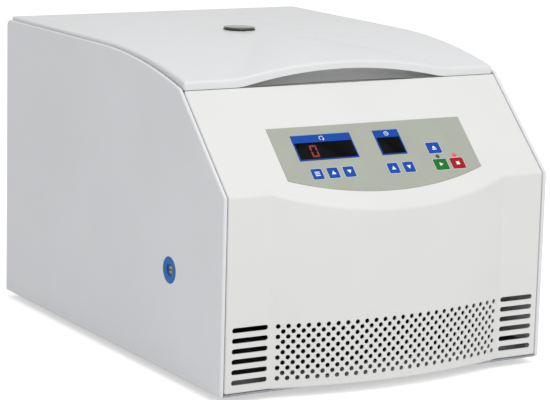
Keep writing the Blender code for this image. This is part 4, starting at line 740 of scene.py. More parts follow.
def screw(name, at, radius=SCREW_HEAD, rise=SCREW_RISE):
    """A pan-head screw with a cross recess, head up."""
    shares = [(0, 1), (0.45, 0.97), (0.8, 0.7), (1, 0.2), (1, 0), (0, 0)]
    head = [(radius * out, rise * up) for out, up in shares]
    made = place(turned(head, 24, False), name, STEEL, "housing", at, 40)
    arm = 0.42 * radius
    slot = radius * 0.12
    deep = rise * 0.45
    for long, short in ((arm, slot), (slot, arm)):
        cut(made, block((-long, long), (-short, short), (deep, 2 * rise)), at=at)


def rear_panel():
    low, high = BODY_DEPTH - REAR_WALL, BODY_DEPTH
    corner = 1.5 * MM
    outline = rectangle(2 * FITTED_HALF, REAR_TOP, corner, (0, REAR_TOP / 2))
    panel = place(slab(outline, low, high, ALONG_Y), "rear_sheet", ENAMEL)
    edge = 0.7 * MM
    soften(panel, edge, 2, 60)
    slots = []
    for side in (-1, 1):
        for i in range(7):
            x = side * (SLOT_X - (i - 3) * SLOT_STEP)
            upright = [(x + b, a) for a, b in stadium(SLOT_LOW, SLOT_HIGH, SLOT_WIDTH, 0)]
            slots.append(slab(upright, low - OVER, high + OVER, ALONG_Y))
    width, height, corner = 44.6 * MM, 56.6 * MM, 1 * MM
    opening = rectangle(width, height, corner, (INLET_X, INLET_Z))
    slots.append(slab(opening, low - OVER, high + OVER, ALONG_Y))
    cut(panel, merged(slots))
    even(panel)
    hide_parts("rear_panel")
    outward = Matrix.Rotation(math.radians(-90), 4, "X")
    inset = 12 * MM
    columns = (inset - FITTED_HALF, FITTED_HALF - inset)
    rows = (inset, REAR_TOP / 2, REAR_TOP - inset)
    for i, (z, x) in enumerate((z, x) for z in rows for x in columns):
        screw(f"rear_screw_{i + 1}", HOME @ Matrix.Translation((x, BODY_DEPTH, z)) @ outward)
    apart = 20.5 * MM
    seat = BODY_DEPTH + INLET_PROUD - CLEAR
    small, flat = 2.4 * MM, 0.25 * MM
    for i, x in enumerate((INLET_X - apart, INLET_X + apart)):
        spot = HOME @ Matrix.Translation((x, seat, INLET_Z)) @ outward
        screw(f"inlet_screw_{i + 1}", spot, small, flat)


def top_deck():
    front = MOULD_BACK + CLEAR
    upstand = 1 * MM
    lip = DECK_TOP + upstand
    profile = [
        (front, lip),
        (front + DECK_WALL, lip),
        (front + DECK_WALL, GUTTER_FLOOR),
        (GUTTER_BACK, GUTTER_FLOOR),
        (GUTTER_BACK, DECK_TOP),
        (REAR_INSIDE, DECK_TOP),
        (REAR_INSIDE, DECK_TOP - DECK_WALL),
        (GUTTER_BACK + DECK_WALL, DECK_TOP - DECK_WALL),
        (GUTTER_BACK + DECK_WALL, GUTTER_FLOOR - DECK_WALL),
        (front, GUTTER_FLOOR - DECK_WALL),
    ]
    # The deck sheet takes the grey paint with the painted shade of the gutter in it
    deck = place(slab(profile, -FITTED_HALF, FITTED_HALF, ALONG_X), "deck_sheet", DECK_PAINT_AND_SHADE)
    low, high = DECK_TOP - 2 * OVER, DECK_TOP + OVER
    cut(deck, rod(BOWL_RADIUS + CLEAR, low, high, FINE, (0, AXIS_Y)))
    half = 14 * MM
    striker_slot = (148 * MM, 158 * MM)
    cut(deck, block((-half, half), striker_slot, (DECK_TOP - OVER, high)))
    even(deck)
    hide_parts("top_deck")


def feet():
    neck, shoulder, radius, corner = 4 * MM, 13 * MM, 17 * MM, 1.2 * MM
    profile = [
        (0, 0),
        (neck, 0),
        (shoulder, -CLEAR),
        (radius, -FOOT_HEIGHT / 2),
        (radius, -FOOT_HEIGHT),
        (0, -FOOT_HEIGHT),
    ]
    rounded = eased(profile, corner, False)
    apart, inset = 170 * MM, 60 * MM
    for side, x in (("left", -apart), ("right", apart)):
        for end, y in (("front", inset), ("rear", BODY_DEPTH - inset)):
            spot = HOME @ Matrix.Translation((x, y, 0))
            foot = place(turned(rounded, 48, False), f"rubber_foot_{end}_{side}", RUBBER, at=spot)
            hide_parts(f"foot_{end}_{side}")


# Chamber


def chamber():
    inner = BOWL_RADIUS - BOWL_WALL
    low, high = DECK_TOP + CLEAR, DECK_TOP + CLEAR + BOWL_WALL
    outside = (BOWL_RADIUS - BOWL_FILLET, BOWL_FLOOR + BOWL_FILLET)
    lip = BOWL_WALL
    bowl = arc((inner + lip, high - lip), lip, 180, 90, 5)
    bowl += [(BOWL_FLANGE, high), (BOWL_FLANGE, low), (BOWL_RADIUS, low)]
    bowl += arc(outside, BOWL_FILLET, 0, -90, 10)
    bowl += [(BOWL_HOLE, BOWL_FLOOR), (BOWL_HOLE, BOWL_FLOOR + BOWL_WALL)]
    bowl += arc(outside, BOWL_FILLET - BOWL_WALL, -90, 0, 10)
    spun = place(turned(bowl), "spun_bowl", STAINLESS, at=AXIS_AT)
    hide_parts("chamber_bowl")

    low = high + CLEAR
    top = LINER_LOW - CLEAR
    near, far, taper, corner = 195 * MM, 203 * MM, 2 * MM, 1.6 * MM
    ring = [
        (near, low),
        (far, low),
        (far, low + taper),
        (far - taper, top),
        (near + taper, top),
        (near, low + taper),
    ]
    seal = place(turned(eased(ring, corner)), "bowl_seal", RUBBER, at=AXIS_AT)
    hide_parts("bowl_gasket")

    outer = BOWL_HOLE - CLEAR
    seat = BOWL_FLOOR + BOWL_WALL + CLEAR
    low = 146 * MM + CLEAR
    crown = 7 * MM
    wall = 3.5 * MM
    foot, mouth, lip, corner = 22 * MM, 12 * MM, 3.3 * MM, 0.8 * MM
    flange = seat + 2.5 * MM
    boot = [
        (foot, low),
        (outer, low + crown),
        (outer, seat),
        (outer + lip, seat),
        (outer + lip, flange),
        (mouth + wall, flange + crown),
        (mouth, flange + crown),
        (mouth, seat + crown),
        (outer - wall, seat),
        (outer - wall, low + crown),
        (foot - wall, low),
    ]
    sleeve = place(turned(eased(boot, corner)), "rubber_boot", RUBBER, at=AXIS_AT)
    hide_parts("shaft_boot")


# Rotor


def rotor():
    radius, low, high, corner = 8 * MM, 106 * MM, HUB_LOW - CLEAR, 0.8 * MM
    shaft = [(0, low), (radius, low), (radius, high), (0, high)]
    ground = turned(eased(shaft, corner, False), 48, False)
    spindle = place(ground, "ground_shaft", STEEL, "rotor", AXIS_AT)
    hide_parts("motor_shaft")

    hub = [(0, HUB_LOW), (HUB_RADIUS, HUB_LOW), (HUB_RADIUS, HUB_TOP), (0, HUB_TOP)]
    corner = 1.5 * MM
    cast = turned(eased(hub, corner, False), 64, False)
    yoke = place(cast, "cast_yoke", ALUMINIUM, "rotor", AXIS_AT)
    half = 11 * MM / math.sqrt(2)
    play = 1 * MM
    face = BUCKET_RADIUS + BOSS_OUT + play
    head = 12 * MM
    near, far = PIVOT_RADIUS - head / 2, PIVOT_RADIUS + head / 2
    root, neck = 15 * MM, 52 * MM
    side = [
        (root + half, root - half),
        (neck + half, neck - half),
        (near, face),
        (far, face),
        (far, face + head),
    ]
    outline = side + [(b, a) for a, b in reversed(side)]
    below, above, edge = 10 * MM, 9 * MM, 1.2 * MM
    arm = slab(outline, PIVOT_Z - below, PIVOT_Z + above)
    arm = place(arm, "arm_form", ALUMINIUM, "rotor", AXIS_AT)
    soften(arm, edge, 3, 40)
    form = arm.data
    bpy.data.objects.remove(arm)
    for i in range(4):
        turn = Matrix.Rotation(math.pi * i / 2, 4, "Z")
        bm = bmesh.new()
        bm.from_mesh(form)
        cut(yoke, moved(bm, turn), "UNION", AXIS_AT)
        tip = BUCKET_RADIUS + play
        middle = face + head / 2
        for low, high in ((tip, middle), (-middle, -tip)):
            pin = rod(PIN_RADIUS, low, high, 20, (PIVOT_RADIUS, PIVOT_Z), ALONG_Y)
            cut(yoke, moved(pin, turn), "UNION", AXIS_AT)
    even(yoke, 40)
    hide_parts("rotor_yoke")

    low = HUB_TOP + CLEAR
    across = 13 * MM
    flat = across * math.cos(math.radians(30))
    hexagon = arc((0, 0), across, 0, 300, 5)
    height, edge, inside = 9 * MM, 0.6 * MM, 4 * MM
    nut = place(slab(hexagon, low, low + height), "cap_nut", STEEL, "rotor", AXIS_AT)
    soften(nut, edge, 2, 40)
    dome = [(0, low + inside), (flat, low + inside)]
    dome += [(flat * a, low + height + b * height) for a, b in arc((0, 0), 1, 0, 90, 10)]
    crown = [(max(0, radius), z) for radius, z in dome[:-1]] + [(0, dome[-1][1])]
    cut(nut, turned(crown, 48, False), "UNION", AXIS_AT)
    even(nut, 30)
    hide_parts("rotor_nut")


def bucket_mesh():
    inner = BUCKET_RADIUS - BUCKET_WALL
    fillet = 12 * MM
    corner = (BUCKET_RADIUS - fillet, fillet - BUCKET_BELOW)
    lip = BUCKET_RADIUS + BUCKET_WALL
    under = BUCKET_ABOVE - 2 * BUCKET_WALL
    rounded = 0.7 * MM
    profile = [(0, BUCKET_WALL - BUCKET_BELOW)]
    profile += arc(corner, fillet - BUCKET_WALL, -90, 0, 8)
    rolled = [
        (inner, 0),
        (inner, BUCKET_ABOVE),
        (lip, BUCKET_ABOVE),
        (lip, under),
        (BUCKET_RADIUS, under),
        (BUCKET_RADIUS, 0),
    ]
    profile += eased(rolled, rounded, False, 3)[1:-1]
    profile += arc(corner, fillet, 0, -90, 8)
    profile += [(0, -BUCKET_BELOW)]
    cup = place(turned(profile, 64, False), "bucket_form", ALUMINIUM, "rotor", Matrix())
    sunk, wide, tall, corner, middle = 1.8 * MM, 18 * MM, 22 * MM, 2.5 * MM, -1 * MM
    for side in (-1, 1):
        reach = sorted((side * (BUCKET_RADIUS - sunk), side * (BUCKET_RADIUS + BOSS_OUT)))
        boss = slab(rectangle(wide, tall, corner, (0, middle)), *reach, ALONG_Y)
        cut(cup, boss, "UNION", Matrix())
    start, end, deep = BUCKET_RADIUS + 0.5 * MM, BUCKET_RADIUS + 2 * BOSS_OUT, 18 * MM
    for side in (-1, 1):
        reach = sorted((side * start, side * end))
        width = PIN_RADIUS + CLEAR
        outline = [(-width, -deep), (width, -deep)] + arc((0, 0), width, 0, 180, 12)
        cut(cup, slab(outline, *reach, ALONG_Y), at=Matrix())
    even(cup)
    mesh = cup.data
    bpy.data.objects.remove(cup)
    return mesh


def buckets():
    mesh = bucket_mesh()
    for i in range(4):
        angle = math.pi * i / 2
        spot = Vector((PIVOT_RADIUS * math.cos(angle), PIVOT_RADIUS * math.sin(angle), PIVOT_Z))
        at = AXIS_AT @ Matrix.Translation(spot) @ Matrix.Rotation(angle, 4, "Z")
        cup = bpy.data.objects.new(f"swing_bucket_{i + 1}", mesh.copy())
        cup.matrix_world = at
        bpy.context.scene.collection.objects.link(cup)
        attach(cup, f"bucket_{i + 1}_body")
        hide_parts(f"bucket_{i + 1}")


# Lid


def hump_share(y):
    return max(0.02, 1 - (y - LID_FRONT) / HUMP_LENGTH)


def proud(y):
    """How far the lid stands above the side panels: a little more towards its front edge."""
    ahead = max(0, RIM_ARC_END - y) / (RIM_ARC_END - LID_FRONT)
    return LID_PROUD + LID_FRONT_MORE * ahead**2


def lid_top(x, y):
    """Height of the lid's upper face: the side panels' line and the swell behind the arch."""
    share = hump_share(y)
    inside = 1 - (x / (HUMP_HALF * share)) ** 2
    soft = 0.05
    swell = HUMP_RISE * share * 0.5 * (inside + math.sqrt(inside**2 + soft**2))
    return rim(y) + proud(y) + min(swell, HUMP_RISE * share)


def arch_edge(x):
    """Height of the lid's front edge, raised in the middle for fingers."""
    edge = rim(LID_FRONT) + LID_PROUD - LID_LIP
    if abs(x) < ARCH_HALF:
        edge += ARCH_RISE * (1 - (x / ARCH_HALF) ** 2)
    return edge


def border(low, high):
    """Places over a rounded border: where it lies in from the edge, as a share of its radius."""
    steps = 6
    near = [math.radians(90 * i / steps) for i in range(steps + 1)]
    first = [(low + LID_ROUND * (1 - math.cos(a)), math.cos(a), 0) for a in near]
    last = [(high - LID_ROUND * (1 - math.cos(a)), math.cos(a), 0) for a in near]
    return first, last[::-1]


def lid_shell():
    shares = [i / 14 for i in range(15)]
    y_first, y_last = border(LID_FRONT, BODY_DEPTH)
    start, end = y_first[-1][0], y_last[0][0]
    middle = [start + (RIM_ARC_END - start) * i / 26 for i in range(1, 27)]
    middle += [RIM_ARC_END + (end - RIM_ARC_END) * i / 10 for i in range(1, 10)]
    rows = [(LID_FRONT, 1, "front")] + y_first + [(y, 0, 0) for y in middle] + y_last
    rows += [(BODY_DEPTH, 1, "rear")]
    bm = bmesh.new()
    lines = []
    for y, lean_y, y_kind in rows:
        x_first, x_last = border(-LID_HALF, LID_HALF)
        crease = max(HUMP_NARROW, HUMP_HALF * hump_share(min(max(y, start), end)))
        outer = LID_HALF - LID_ROUND
        wings = [outer + (crease - outer) * i / 6 for i in range(1, 6)]
        half = wings + [crease * share for share in reversed(shares)]
        inner = [-x for x in half] + [x for x in reversed(half[:-1])]
        columns = [(-LID_HALF, 1, "side")] + x_first + [(x, 0, 0) for x in inner] + x_last
        columns += [(LID_HALF, 1, "side")]
        line = []
        for x, lean_x, x_kind in columns:
            length = math.hypot(lean_x, lean_y)
            u, v = (lean_x / length, lean_y / length) if length > 1 else (lean_x, lean_y)
            px = math.copysign(LID_HALF - LID_ROUND * (1 - u), x) if lean_x else x
            py = y
            if lean_y and y < AXIS_Y:
                py = LID_FRONT + LID_ROUND * (1 - v)
            elif lean_y:
                py = BODY_DEPTH - LID_ROUND * (1 - v)
            if x_kind or y_kind:
                z = lid_top(px, py) - LID_SIDE_SKIRT
                if y_kind == "front" or (x_kind and y < start):
                    z = arch_edge(px)
                if y_kind == "rear" or (x_kind and y > end):
                    z = LID_REAR_EDGE
            else:
                z = lid_top(px, py) - LID_ROUND * (1 - math.sqrt(max(0, 1 - u * u - v * v)))
            line.append(bm.verts.new((px, py, z)))
        lines.append(line)
    for low, high in zip(lines, lines[1:]):
        for a, b, c, d in zip(low, low[1:], high[1:], high):
            bm.faces.new((a, b, c, d))
    bmesh.ops.remove_doubles(bm, verts=bm.verts, dist=WELD * 20)
    bmesh.ops.dissolve_degenerate(bm, edges=bm.edges, dist=WELD * 20)
    shell = place(bm, "lid_skin", LID, "lid", sharp=60)
    bm = bmesh.new()
    bm.from_mesh(shell.data)
    top = max(bm.faces, key=lambda face: face.calc_area())
    if top.normal.z < 0:
        bmesh.ops.reverse_faces(bm, faces=bm.faces)
    bm.to_mesh(shell.data)
    bm.free()
    thick = shell.modifiers.new("wall", "SOLIDIFY")
    thick.thickness = LID_WALL
    thick.offset = -1
    thick.use_even_offset = False
    settle(shell, 60)
    cut(shell, rod(WINDOW_SHANK + CLEAR, LINER_LOW, LID_TOP + OVER, 64, (0, AXIS_Y)))
    shell.data.set_sharp_from_angle(angle=math.radians(50))
    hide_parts("lid_shell")


def finger_pocket():
    """The hollow behind the arch: it runs back from the lid's front edge and curves down."""
    thick = 1.2 * MM
    depth = 26 * MM
    inset, into_shell = 1 * MM, 0.4 * MM
    front = LID_FRONT + 1.4 * MM
    low = DECK_TOP + thick / 2
    lines = []
    columns, rows = 48, 12
    for i in range(columns + 1):
        x = -math.cos(math.pi * i / columns) * (ARCH_HALF - inset)
        reach = depth * math.sqrt(max(0.0, 1 - (x / ARCH_HALF) ** 2))
        high = arch_edge(x) + into_shell
        line = []
        for k in range(rows + 1):
            angle = math.pi / 2 * k / rows
            line.append((x, front + reach * math.sin(angle), low + (high - low) * math.cos(angle)))
        lines.append(line)
    bm = bmesh.new()
    grid = [[bm.verts.new(spot) for spot in line] for line in lines]
    for near, far in zip(grid, grid[1:]):
        for a, b, c, d in zip(near, near[1:], far[1:], far):
            bm.faces.new((a, b, c, d))
    made = place(bm, "finger_pocket", LID, "lid", sharp=80)
    wall = made.modifiers.new("wall", "SOLIDIFY")
    wall.thickness = thick
    wall.offset = 0
    settle(made, 80)


def liner():
    """The inner pan of the lid, its walls run up to the shell."""
    tube = WINDOW_SHANK + CLEAR
    drop = LID_WALL + 0.7 * MM
    fillet, corner = 2 * MM, 0.6 * MM
    profile = [
        (tube, LINER_LOW, False),
        (LINER_RADIUS - fillet, LINER_LOW, False),
        (LINER_RADIUS - corner, LINER_LOW + corner, False),
        (LINER_RADIUS, LINER_LOW + fillet, False),
        (LINER_RADIUS, 0, True),
        (LINER_RADIUS - LINER_WALL, 0, True),
        (LINER_RADIUS - LINER_WALL, LINER_LOW + LINER_WALL, False),
        (tube + LINER_WALL, LINER_LOW + LINER_WALL, False),
        (tube + LINER_WALL, 0, True),
        (tube, 0, True),
    ]
    bm = turned([(radius, z) for radius, z, _ in profile])
    bm.verts.ensure_lookup_table()
    for k, (radius, _, trimmed) in enumerate(profile):
        if trimmed:
            for vert in bm.verts[k * FINE:(k + 1) * FINE]:
                vert.co.z = lid_top(vert.co.x, vert.co.y + AXIS_Y) - drop
    made = place(bm, "lid_pan", LID, "lid", AXIS_AT)
    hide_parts("lid_liner")


def window():
    seat = LID_TOP + CLEAR
    high = seat + 1 * MM
    low = high + CLEAR
    top = low + 2.2 * MM
    tube = WINDOW_SHANK + CLEAR
    corner = 0.3 * MM
    ring = [(tube, seat), (WINDOW_HEAD, seat), (WINDOW_HEAD, high), (tube, high)]
    ring = eased(ring, corner)
    made = place(turned(ring), "window_seal", RUBBER, "lid", AXIS_AT)
    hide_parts("window_ring")
    rounded = 1.6 * MM
    glass = [(0, top)] + arc((WINDOW_HEAD - rounded, top - rounded), rounded, 90, 0, 6)
    glass += [(WINDOW_HEAD, low), (WINDOW_SHANK, low), (WINDOW_SHANK, LINER_LOW), (0, LINER_LOW)]
    made = place(turned(glass, FINE, False), "window_lens", GLASS, "lid", AXIS_AT)
    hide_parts("view_window")


# Emergency release


def release():
    centre = Matrix.Translation((0, RELEASE_Y, RELEASE_Z))
    left = 2 * MM - HALF_WIDTH
    hub_end = 12 * MM - HALF_WIDTH
    radius, mouth, hub, corner = 5 * MM, 7 * MM, 11 * MM, 0.7 * MM
    bore = radius + CLEAR
    bush = [
        (bore, left),
        (mouth, left),
        (mouth, -HALF_WIDTH),
        (RELEASE_RADIUS, -HALF_WIDTH),
        (RELEASE_RADIUS, -INNER_HALF),
        (hub, -INNER_HALF),
        (hub, hub_end),
        (bore, hub_end),
    ]
    ring = moved(turned(eased(bush, corner), 64), centre @ ALONG_X)
    made = place(ring, "release_ring", BUSHING)
    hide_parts("release_bushing")

    end = left + 30 * MM
    collar = hub_end + CLEAR
    collar_end = hub_end + 2.5 * MM
    flange, corner = 9 * MM, 0.4 * MM
    pin = [
        (0, left),
        (radius, left),
        (radius, collar),
        (flange, collar),
        (flange, collar_end),
        (radius, collar_end),
        (radius, end),
        (0, end),
    ]
    pin = moved(turned(eased(pin, corner, False), 48, False), centre @ ALONG_X)
    turnscrew = place(pin, "release_screw", BRASS, "release_spindle_body")
    deep, half = 2 * MM, 0.7 * MM
    slot = block((left - OVER, left + deep), (-OVER, OVER), (-half, half))
    cut(turnscrew, moved(slot, centre))
    even(turnscrew)
    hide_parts("release_spindle")


# Control panel


def symbol_outlines(kind):
    """Flat outlines of a plain control symbol, about 6 mm high, round the middle of its key."""
    half, tip, base, row = 3 * MM, 2.9 * MM, 2.3 * MM, 2.4 * MM
    if kind == "up":
        return [[(-half, -base), (half, -base), (0, tip)]]
    if kind == "down":
        return [[(-half, base), (half, base), (0, -tip)]]
    if kind == "play":
        back, high, point = 2.2 * MM, 2.6 * MM, 2.8 * MM
        return [[(-back, -high), (point, 0), (-back, high)]]
    if kind == "square":
        side, corner = 4.6 * MM, 0.4 * MM
        return [rectangle(side, side, corner)]
    if kind == "eject":
        thick, corner, raised = 1.3 * MM, 0.2 * MM, 0.9 * MM
        bar = rectangle(2 * half, thick, corner, (0, -row))
        return [[(-half, -raised), (half, -raised), (0, tip)], bar]
    width, thick, corner = 6.6 * MM, 1.2 * MM, 0.3 * MM
    return [rectangle(width, thick, corner, (0, s)) for s in (-row, 0, row)]


def keys():
    corner, edge, printed_edge, printed_corner = 1 * MM, 0.3 * MM, 1.8 * MM, 1.6 * MM
    for name, x, s, (width, height), colour, kind in KEYS:
        at = SLOPE_AT @ Matrix.Translation((x, s, 0))
        body = name + "_body"
        cap = slab(rectangle(width, height, corner), KEY_LOW, KEY_TOP)
        cap = place(cap, f"{name}_cap", colour, body, at)
        soften(cap, edge, 2, 60)
        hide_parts(name)
        low, high = KEY_TOP - PRINT, KEY_TOP + PRINT
        marks = [slab(outline, low, high) for outline in symbol_outlines(kind)]
        place(merged(marks), f"{name}_symbol", WHITE, body, at)
        around = rectangle(width + printed_edge, height + printed_edge, printed_corner)
        around = slab(around, OVERLAY_HIGH - PRINT, OVERLAY_HIGH + PRINT)
        printed = place(around, f"{name}_border", BORDER, "housing", at)
        hole = rectangle(width + 2 * CLEAR, height + 2 * CLEAR, KEY_HOLE_CORNER)
        cut(printed, slab(hole, -OVER, OVER), at=at)


def gauge_outline(radius, start, end, width):
    return arc((0, 0), radius, start, end, 16) + arc((0, 0), radius - width, end, start, 16)


def windows():
    corner, rounded = 0.8 * MM, 0.2 * MM
    for name, x, width in WINDOWS:
        at = SLOPE_AT @ Matrix.Translation((x, WINDOW_ROW, 0))
        half = WINDOW_HEIGHT / 2
        top = PANE_TOP
        glass = slab(rectangle(width, WINDOW_HEIGHT, corner), OVERLAY_LOW, top)
        glass = place(glass, f"{name}_pane", DISPLAY, "housing", at)
        soften(glass, rounded, 2, 60)
        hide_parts(name)
        band = 10.6 * MM
        edge = 1.5 * MM
        outer = rectangle(width - PRINT, WINDOW_HEIGHT - PRINT, corner)
        surround = slab(outer, top - PRINT, top + PRINT)
        surround = place(surround, f"{name}_surround", BLUE, "housing", at)
        inner = width / 2 - edge
        low, high = edge - half, half - band
        opening = [(-inner, low), (inner, low), (inner, high), (-inner, high)]
        cut(surround, slab(opening, -OVER, OVER), at=at)
        middle = Matrix.Translation((0, half - band / 2, 0))
        low, high = top + PRINT, top + 2 * PRINT
        radius = 3.1 * MM
        line = 0.7 * MM
        if name == "speed_window":
            shapes = [slab(gauge_outline(radius, -40, 250, line), low, high)]
            arrow = [(2.2 * MM, -3.8 * MM), (3.9 * MM, -1.3 * MM), (0.9 * MM, -1.7 * MM)]
            shapes.append(slab(arrow, low, high))
        else:
            shapes = [slab(gauge_outline(radius, 0, 359, line), low, high)]
            hand = line / 2
            upright, level = 2.1 * MM, 1.7 * MM
            minute = [(-hand, -hand), (hand, -hand), (hand, upright), (-hand, upright)]
            hour = [(hand, -hand), (level, -hand), (level, hand), (hand, hand)]
            shapes += [slab(minute, low, high), slab(hour, low, high)]
        symbol = merged([moved(shape, middle) for shape in shapes])
        place(symbol, f"{name}_symbol", WHITE, "housing", at)
    digit()


def digit():
    """One dim seven-segment nought on the speed display."""
    below = 5.3 * MM
    x, s = -84 * MM, WINDOW_ROW - below
    width, height, bar = 9.6 * MM, 17 * MM, 2.3 * MM
    a, b = width / 2, height / 2
    gap = 0.3 * MM
    flat = []
    for sign in (-1, 1):
        flat.append([
            (gap - a, sign * b),
            (a - gap, sign * b),
            (a - gap - bar, sign * (b - bar)),
            (gap + bar - a, sign * (b - bar)),
        ])
        for side in (-1, 1):
            flat.append([
                (side * a, sign * (b - gap)),
                (side * a, sign * gap),
                (side * (a - bar), sign * (gap + bar / 2)),
                (side * (a - bar), sign * (b - gap - bar)),
            ])
    shapes = [slab(outline, PANE_TOP, PANE_TOP + PRINT) for outline in flat]
    at = SLOPE_AT @ Matrix.Translation((x, s, 0))
    place(merged(shapes), "speed_digit", DIGIT, "housing", at)


def control_panel():
    film = slab(overlay_outline(0), OVERLAY_LOW, OVERLAY_HIGH)
    film = place(film, "panel_film", FILM, "housing", SLOPE_AT)
    cut(film, panel_openings(OVERLAY_LOW - OVER, OVERLAY_HIGH + OVER, CLEAR), at=SLOPE_AT)
    even(film)
    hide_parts("control_overlay")
    keys()
    windows()
    for name, x, look in LAMPS:
        low = -8 * MM
        dome = [(0, 0.9 * MM), (1.3 * MM, 0.75 * MM), (2.1 * MM, 0.45 * MM)]
        dome += [(LAMP_RADIUS, 0), (LAMP_RADIUS, low), (0, low)]
        at = SLOPE_AT @ Matrix.Translation((x, LAMP_ROW, 0))
        lens = place(turned(dome, 32, False), f"{name}_lens", look, "housing", at, 60)
        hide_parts(name)


# Power inlet


def power():
    face = BODY_DEPTH + INLET_PROUD
    x, z = INLET_X, INLET_Z
    width, height, corner, edge = 50 * MM, 64 * MM, 6 * MM, 0.8 * MM
    flange = rectangle(width, height, corner, (x, z), 8)
    inlet = place(slab(flange, BODY_DEPTH + CLEAR, face, ALONG_Y), "inlet_housing", BLACK)
    soften(inlet, edge, 3, 60)
    width, height, corner = 44 * MM, 56 * MM, 1 * MM
    inside, joined = BODY_DEPTH - 30 * MM, BODY_DEPTH + 1.5 * MM
    body = rectangle(width, height, corner, (x, z))
    cut(inlet, slab(body, inside, joined, ALONG_Y), "UNION")
    low = 55 * MM
    a, b, chamfer = 12.5 * MM, 8.5 * MM, 5 * MM
    well = [
        (x - a, low - b),
        (x + a, low - b),
        (x + a, low + b - chamfer),
        (x + a - chamfer, low + b),
        (x - a + chamfer, low + b),
        (x - a, low + b - chamfer),
    ]
    deep, corner = 18 * MM, 1.2 * MM
    floor = face - deep
    cut(inlet, slab(eased(well, corner), floor, face + OVER, ALONG_Y))
    switch_z = 86 * MM
    width, height, corner, deep = 14.6 * MM, 21.6 * MM, 0.6 * MM, 10.8 * MM
    switch = rectangle(width, height, corner, (x, switch_z))
    cut(inlet, slab(switch, face - deep, face + OVER, ALONG_Y))
    even(inlet)
    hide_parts("power_inlet")
    blades = []
    width, height, corner = 2 * MM, 4 * MM, 0.5 * MM
    apart, offset, root, reach = 7 * MM, 2 * MM, 2 * MM, 14 * MM
    for dx, dz in ((-apart, -offset), (0, offset), (apart, -offset)):
        outline = rectangle(width, height, corner, (x + dx, low + dz))
        blades.append(slab(outline, floor - root, floor + reach, ALONG_Y))
    place(merged(blades), "inlet_blades", STEEL)

    sunk = 2.5 * MM
    pivot = Vector((x, BODY_DEPTH - sunk, switch_z))
    tilt = math.radians(7)
    at = HOME @ Matrix.Translation(pivot) @ Matrix.Rotation(-tilt, 4, "X")
    half, out = 10 * MM, 4 * MM
    dip = half * math.tan(tilt)
    outline = [
        (out - dip, 0),
        (out, half),
        (-out / 2, half),
        (-out, half / 2),
        (-out, -half / 2),
        (-out / 2, -half),
        (out, -half),
    ]
    side, corner, edge = 7 * MM, 0.8 * MM, 0.4 * MM
    cap = slab(eased(outline, corner), -side, side, ALONG_X)
    rocker = place(cap, "rocker_cap", BLACK, "power_rocker_body", at)
    soften(rocker, edge, 2, 60)
    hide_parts("power_rocker")
    rise = math.atan2(dip, half)
    thin, stroke = 0.1 * MM, 0.8 * MM
    width, height, corner, radius = 1 * MM, 4.4 * MM, 0.2 * MM, 2.2 * MM
    for name, sign in (("on", 1), ("off", -1)):
        spot = Vector((0, out - dip / 2, sign * half / 2))
        flat = at @ Matrix.Translation(spot) @ Matrix.Rotation(-sign * rise, 4, "X") @ ALONG_Y
        if sign > 0:
            mark = slab(rectangle(width, height, corner), -thin, thin)
        else:
            mark = slab(gauge_outline(radius, 0, 359, stroke), -thin, thin)
        place(mark, f"rocker_mark_{name}", WHITE, "power_rocker_body", flat)


# Finishes of the solids that stay

KEPT = {
    "base_plate": ZINC,
    "guard_ring": ZINC,
    "motor_plate": ZINC,
    "motor_mount_front_left": RUBBER,
    "motor_mount_front_right": RUBBER,
    "motor_mount_rear_left": RUBBER,
    "motor_mount_rear_right": RUBBER,
    "motor_body": ALUMINIUM,
    "hinge_base_left": ZINC,
    "hinge_base_right": ZINC,
    "hinge_leaf_left": ZINC,
    "hinge_leaf_right": ZINC,
    "hinge_pin_left": STEEL,
    "hinge_pin_right": STEEL,
    "lid_striker": STEEL,
    "lock_housing": BLACK,
    "latch_bolt": STEEL,
    "control_board": BOARD,
    "drive_board": BOARD,
}


def finish_kept():
    for name, look in KEPT.items():
        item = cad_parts[name]
        if not item.material_slots:
            item.data.materials.append(look)
        for place_of in item.material_slots:
            place_of.link = "OBJECT"
            place_of.material = look


# Studio


def lamp(name, spot, aim, size, power):
    data = bpy.data.lights.new(name, "AREA")
    data.size = size
    data.energy = power
    made = bpy.data.objects.new(name, data)
    direction = Vector(aim) - Vector(spot)
    turn = direction.to_track_quat("-Z", "Y").to_matrix().to_4x4()
    made.matrix_world = Matrix.Translation(spot) @ turn
    bpy.context.scene.collection.objects.link(made)


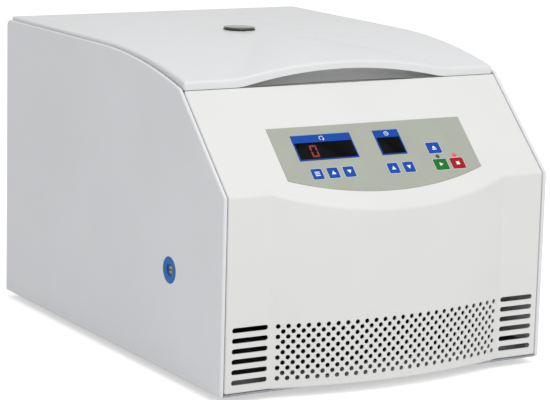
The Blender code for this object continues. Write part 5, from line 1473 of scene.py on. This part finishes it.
def seen_as_white(tree, shader, output):
    """White wherever the camera, a mirror or a clear glass looks straight at it."""
    path = tree.nodes.new("ShaderNodeLightPath")
    seen = path.outputs["Is Camera Ray"]
    for name in ("Is Glossy Ray", "Is Transmission Ray"):
        either = tree.nodes.new("ShaderNodeMath")
        either.operation = "MAXIMUM"
        tree.links.new(seen, either.inputs[0])
        tree.links.new(path.outputs[name], either.inputs[1])
        seen = either.outputs["Value"]
    white = tree.nodes.new("ShaderNodeBackground")
    white.inputs["Strength"].default_value = 1
    mix = tree.nodes.new("ShaderNodeMixShader")
    tree.links.new(seen, mix.inputs["Fac"])
    tree.links.new(shader, mix.inputs[1])
    tree.links.new(white.outputs["Background"], mix.inputs[2])
    tree.links.new(mix.outputs["Shader"], output)


def studio():
    world = bpy.data.worlds.new("studio")
    bpy.context.scene.world = world
    world.use_nodes = True
    tree = world.node_tree
    air = tree.nodes["Background"]
    air.inputs["Color"].default_value = (1, 1, 1, 1)
    air.inputs["Strength"].default_value = 0.66
    seen_as_white(tree, air.outputs["Background"], tree.nodes["World Output"].inputs["Surface"])

    look = bpy.data.materials.new("pale_floor")
    look.use_nodes = True
    shader = look.node_tree.nodes["Principled BSDF"]
    shader.inputs["Base Color"].default_value = (0.86, 0.86, 0.86, 1)
    shader.inputs["Roughness"].default_value = 0.9
    shader.inputs["Emission Color"].default_value = (1, 1, 1, 1)
    path = look.node_tree.nodes.new("ShaderNodeLightPath")
    lift = look.node_tree.nodes.new("ShaderNodeMath")
    lift.operation = "MULTIPLY"
    lift.inputs[1].default_value = 0.5
    look.node_tree.links.new(path.outputs["Is Camera Ray"], lift.inputs[0])
    look.node_tree.links.new(lift.outputs["Value"], shader.inputs["Emission Strength"])
    mesh = bpy.data.meshes.new("floor")
    reach = 8
    corners = [(-reach, -reach, 0), (reach, -reach, 0), (reach, reach, 0), (-reach, reach, 0)]
    mesh.from_pydata(corners, [], [(0, 1, 2, 3)])
    mesh.materials.append(look)
    floor = bpy.data.objects.new("floor", mesh)
    bpy.context.scene.collection.objects.link(floor)

    lamp("top_box", (0.1, -1.3, 2.0), (0, 0, 0.2), 1.6, 18)
    lamp("front_box", (-1.2, -3.0, 1.2), (0, 0, 0.2), 1.6, 9)
    bpy.context.scene.view_settings.view_transform = "Standard"


side_panels()
front_panel()
rear_panel()
top_deck()
feet()
chamber()
rotor()
buckets()
lid_shell()
finger_pocket()
liner()
window()
release()
control_panel()
power()
finish_kept()
studio()
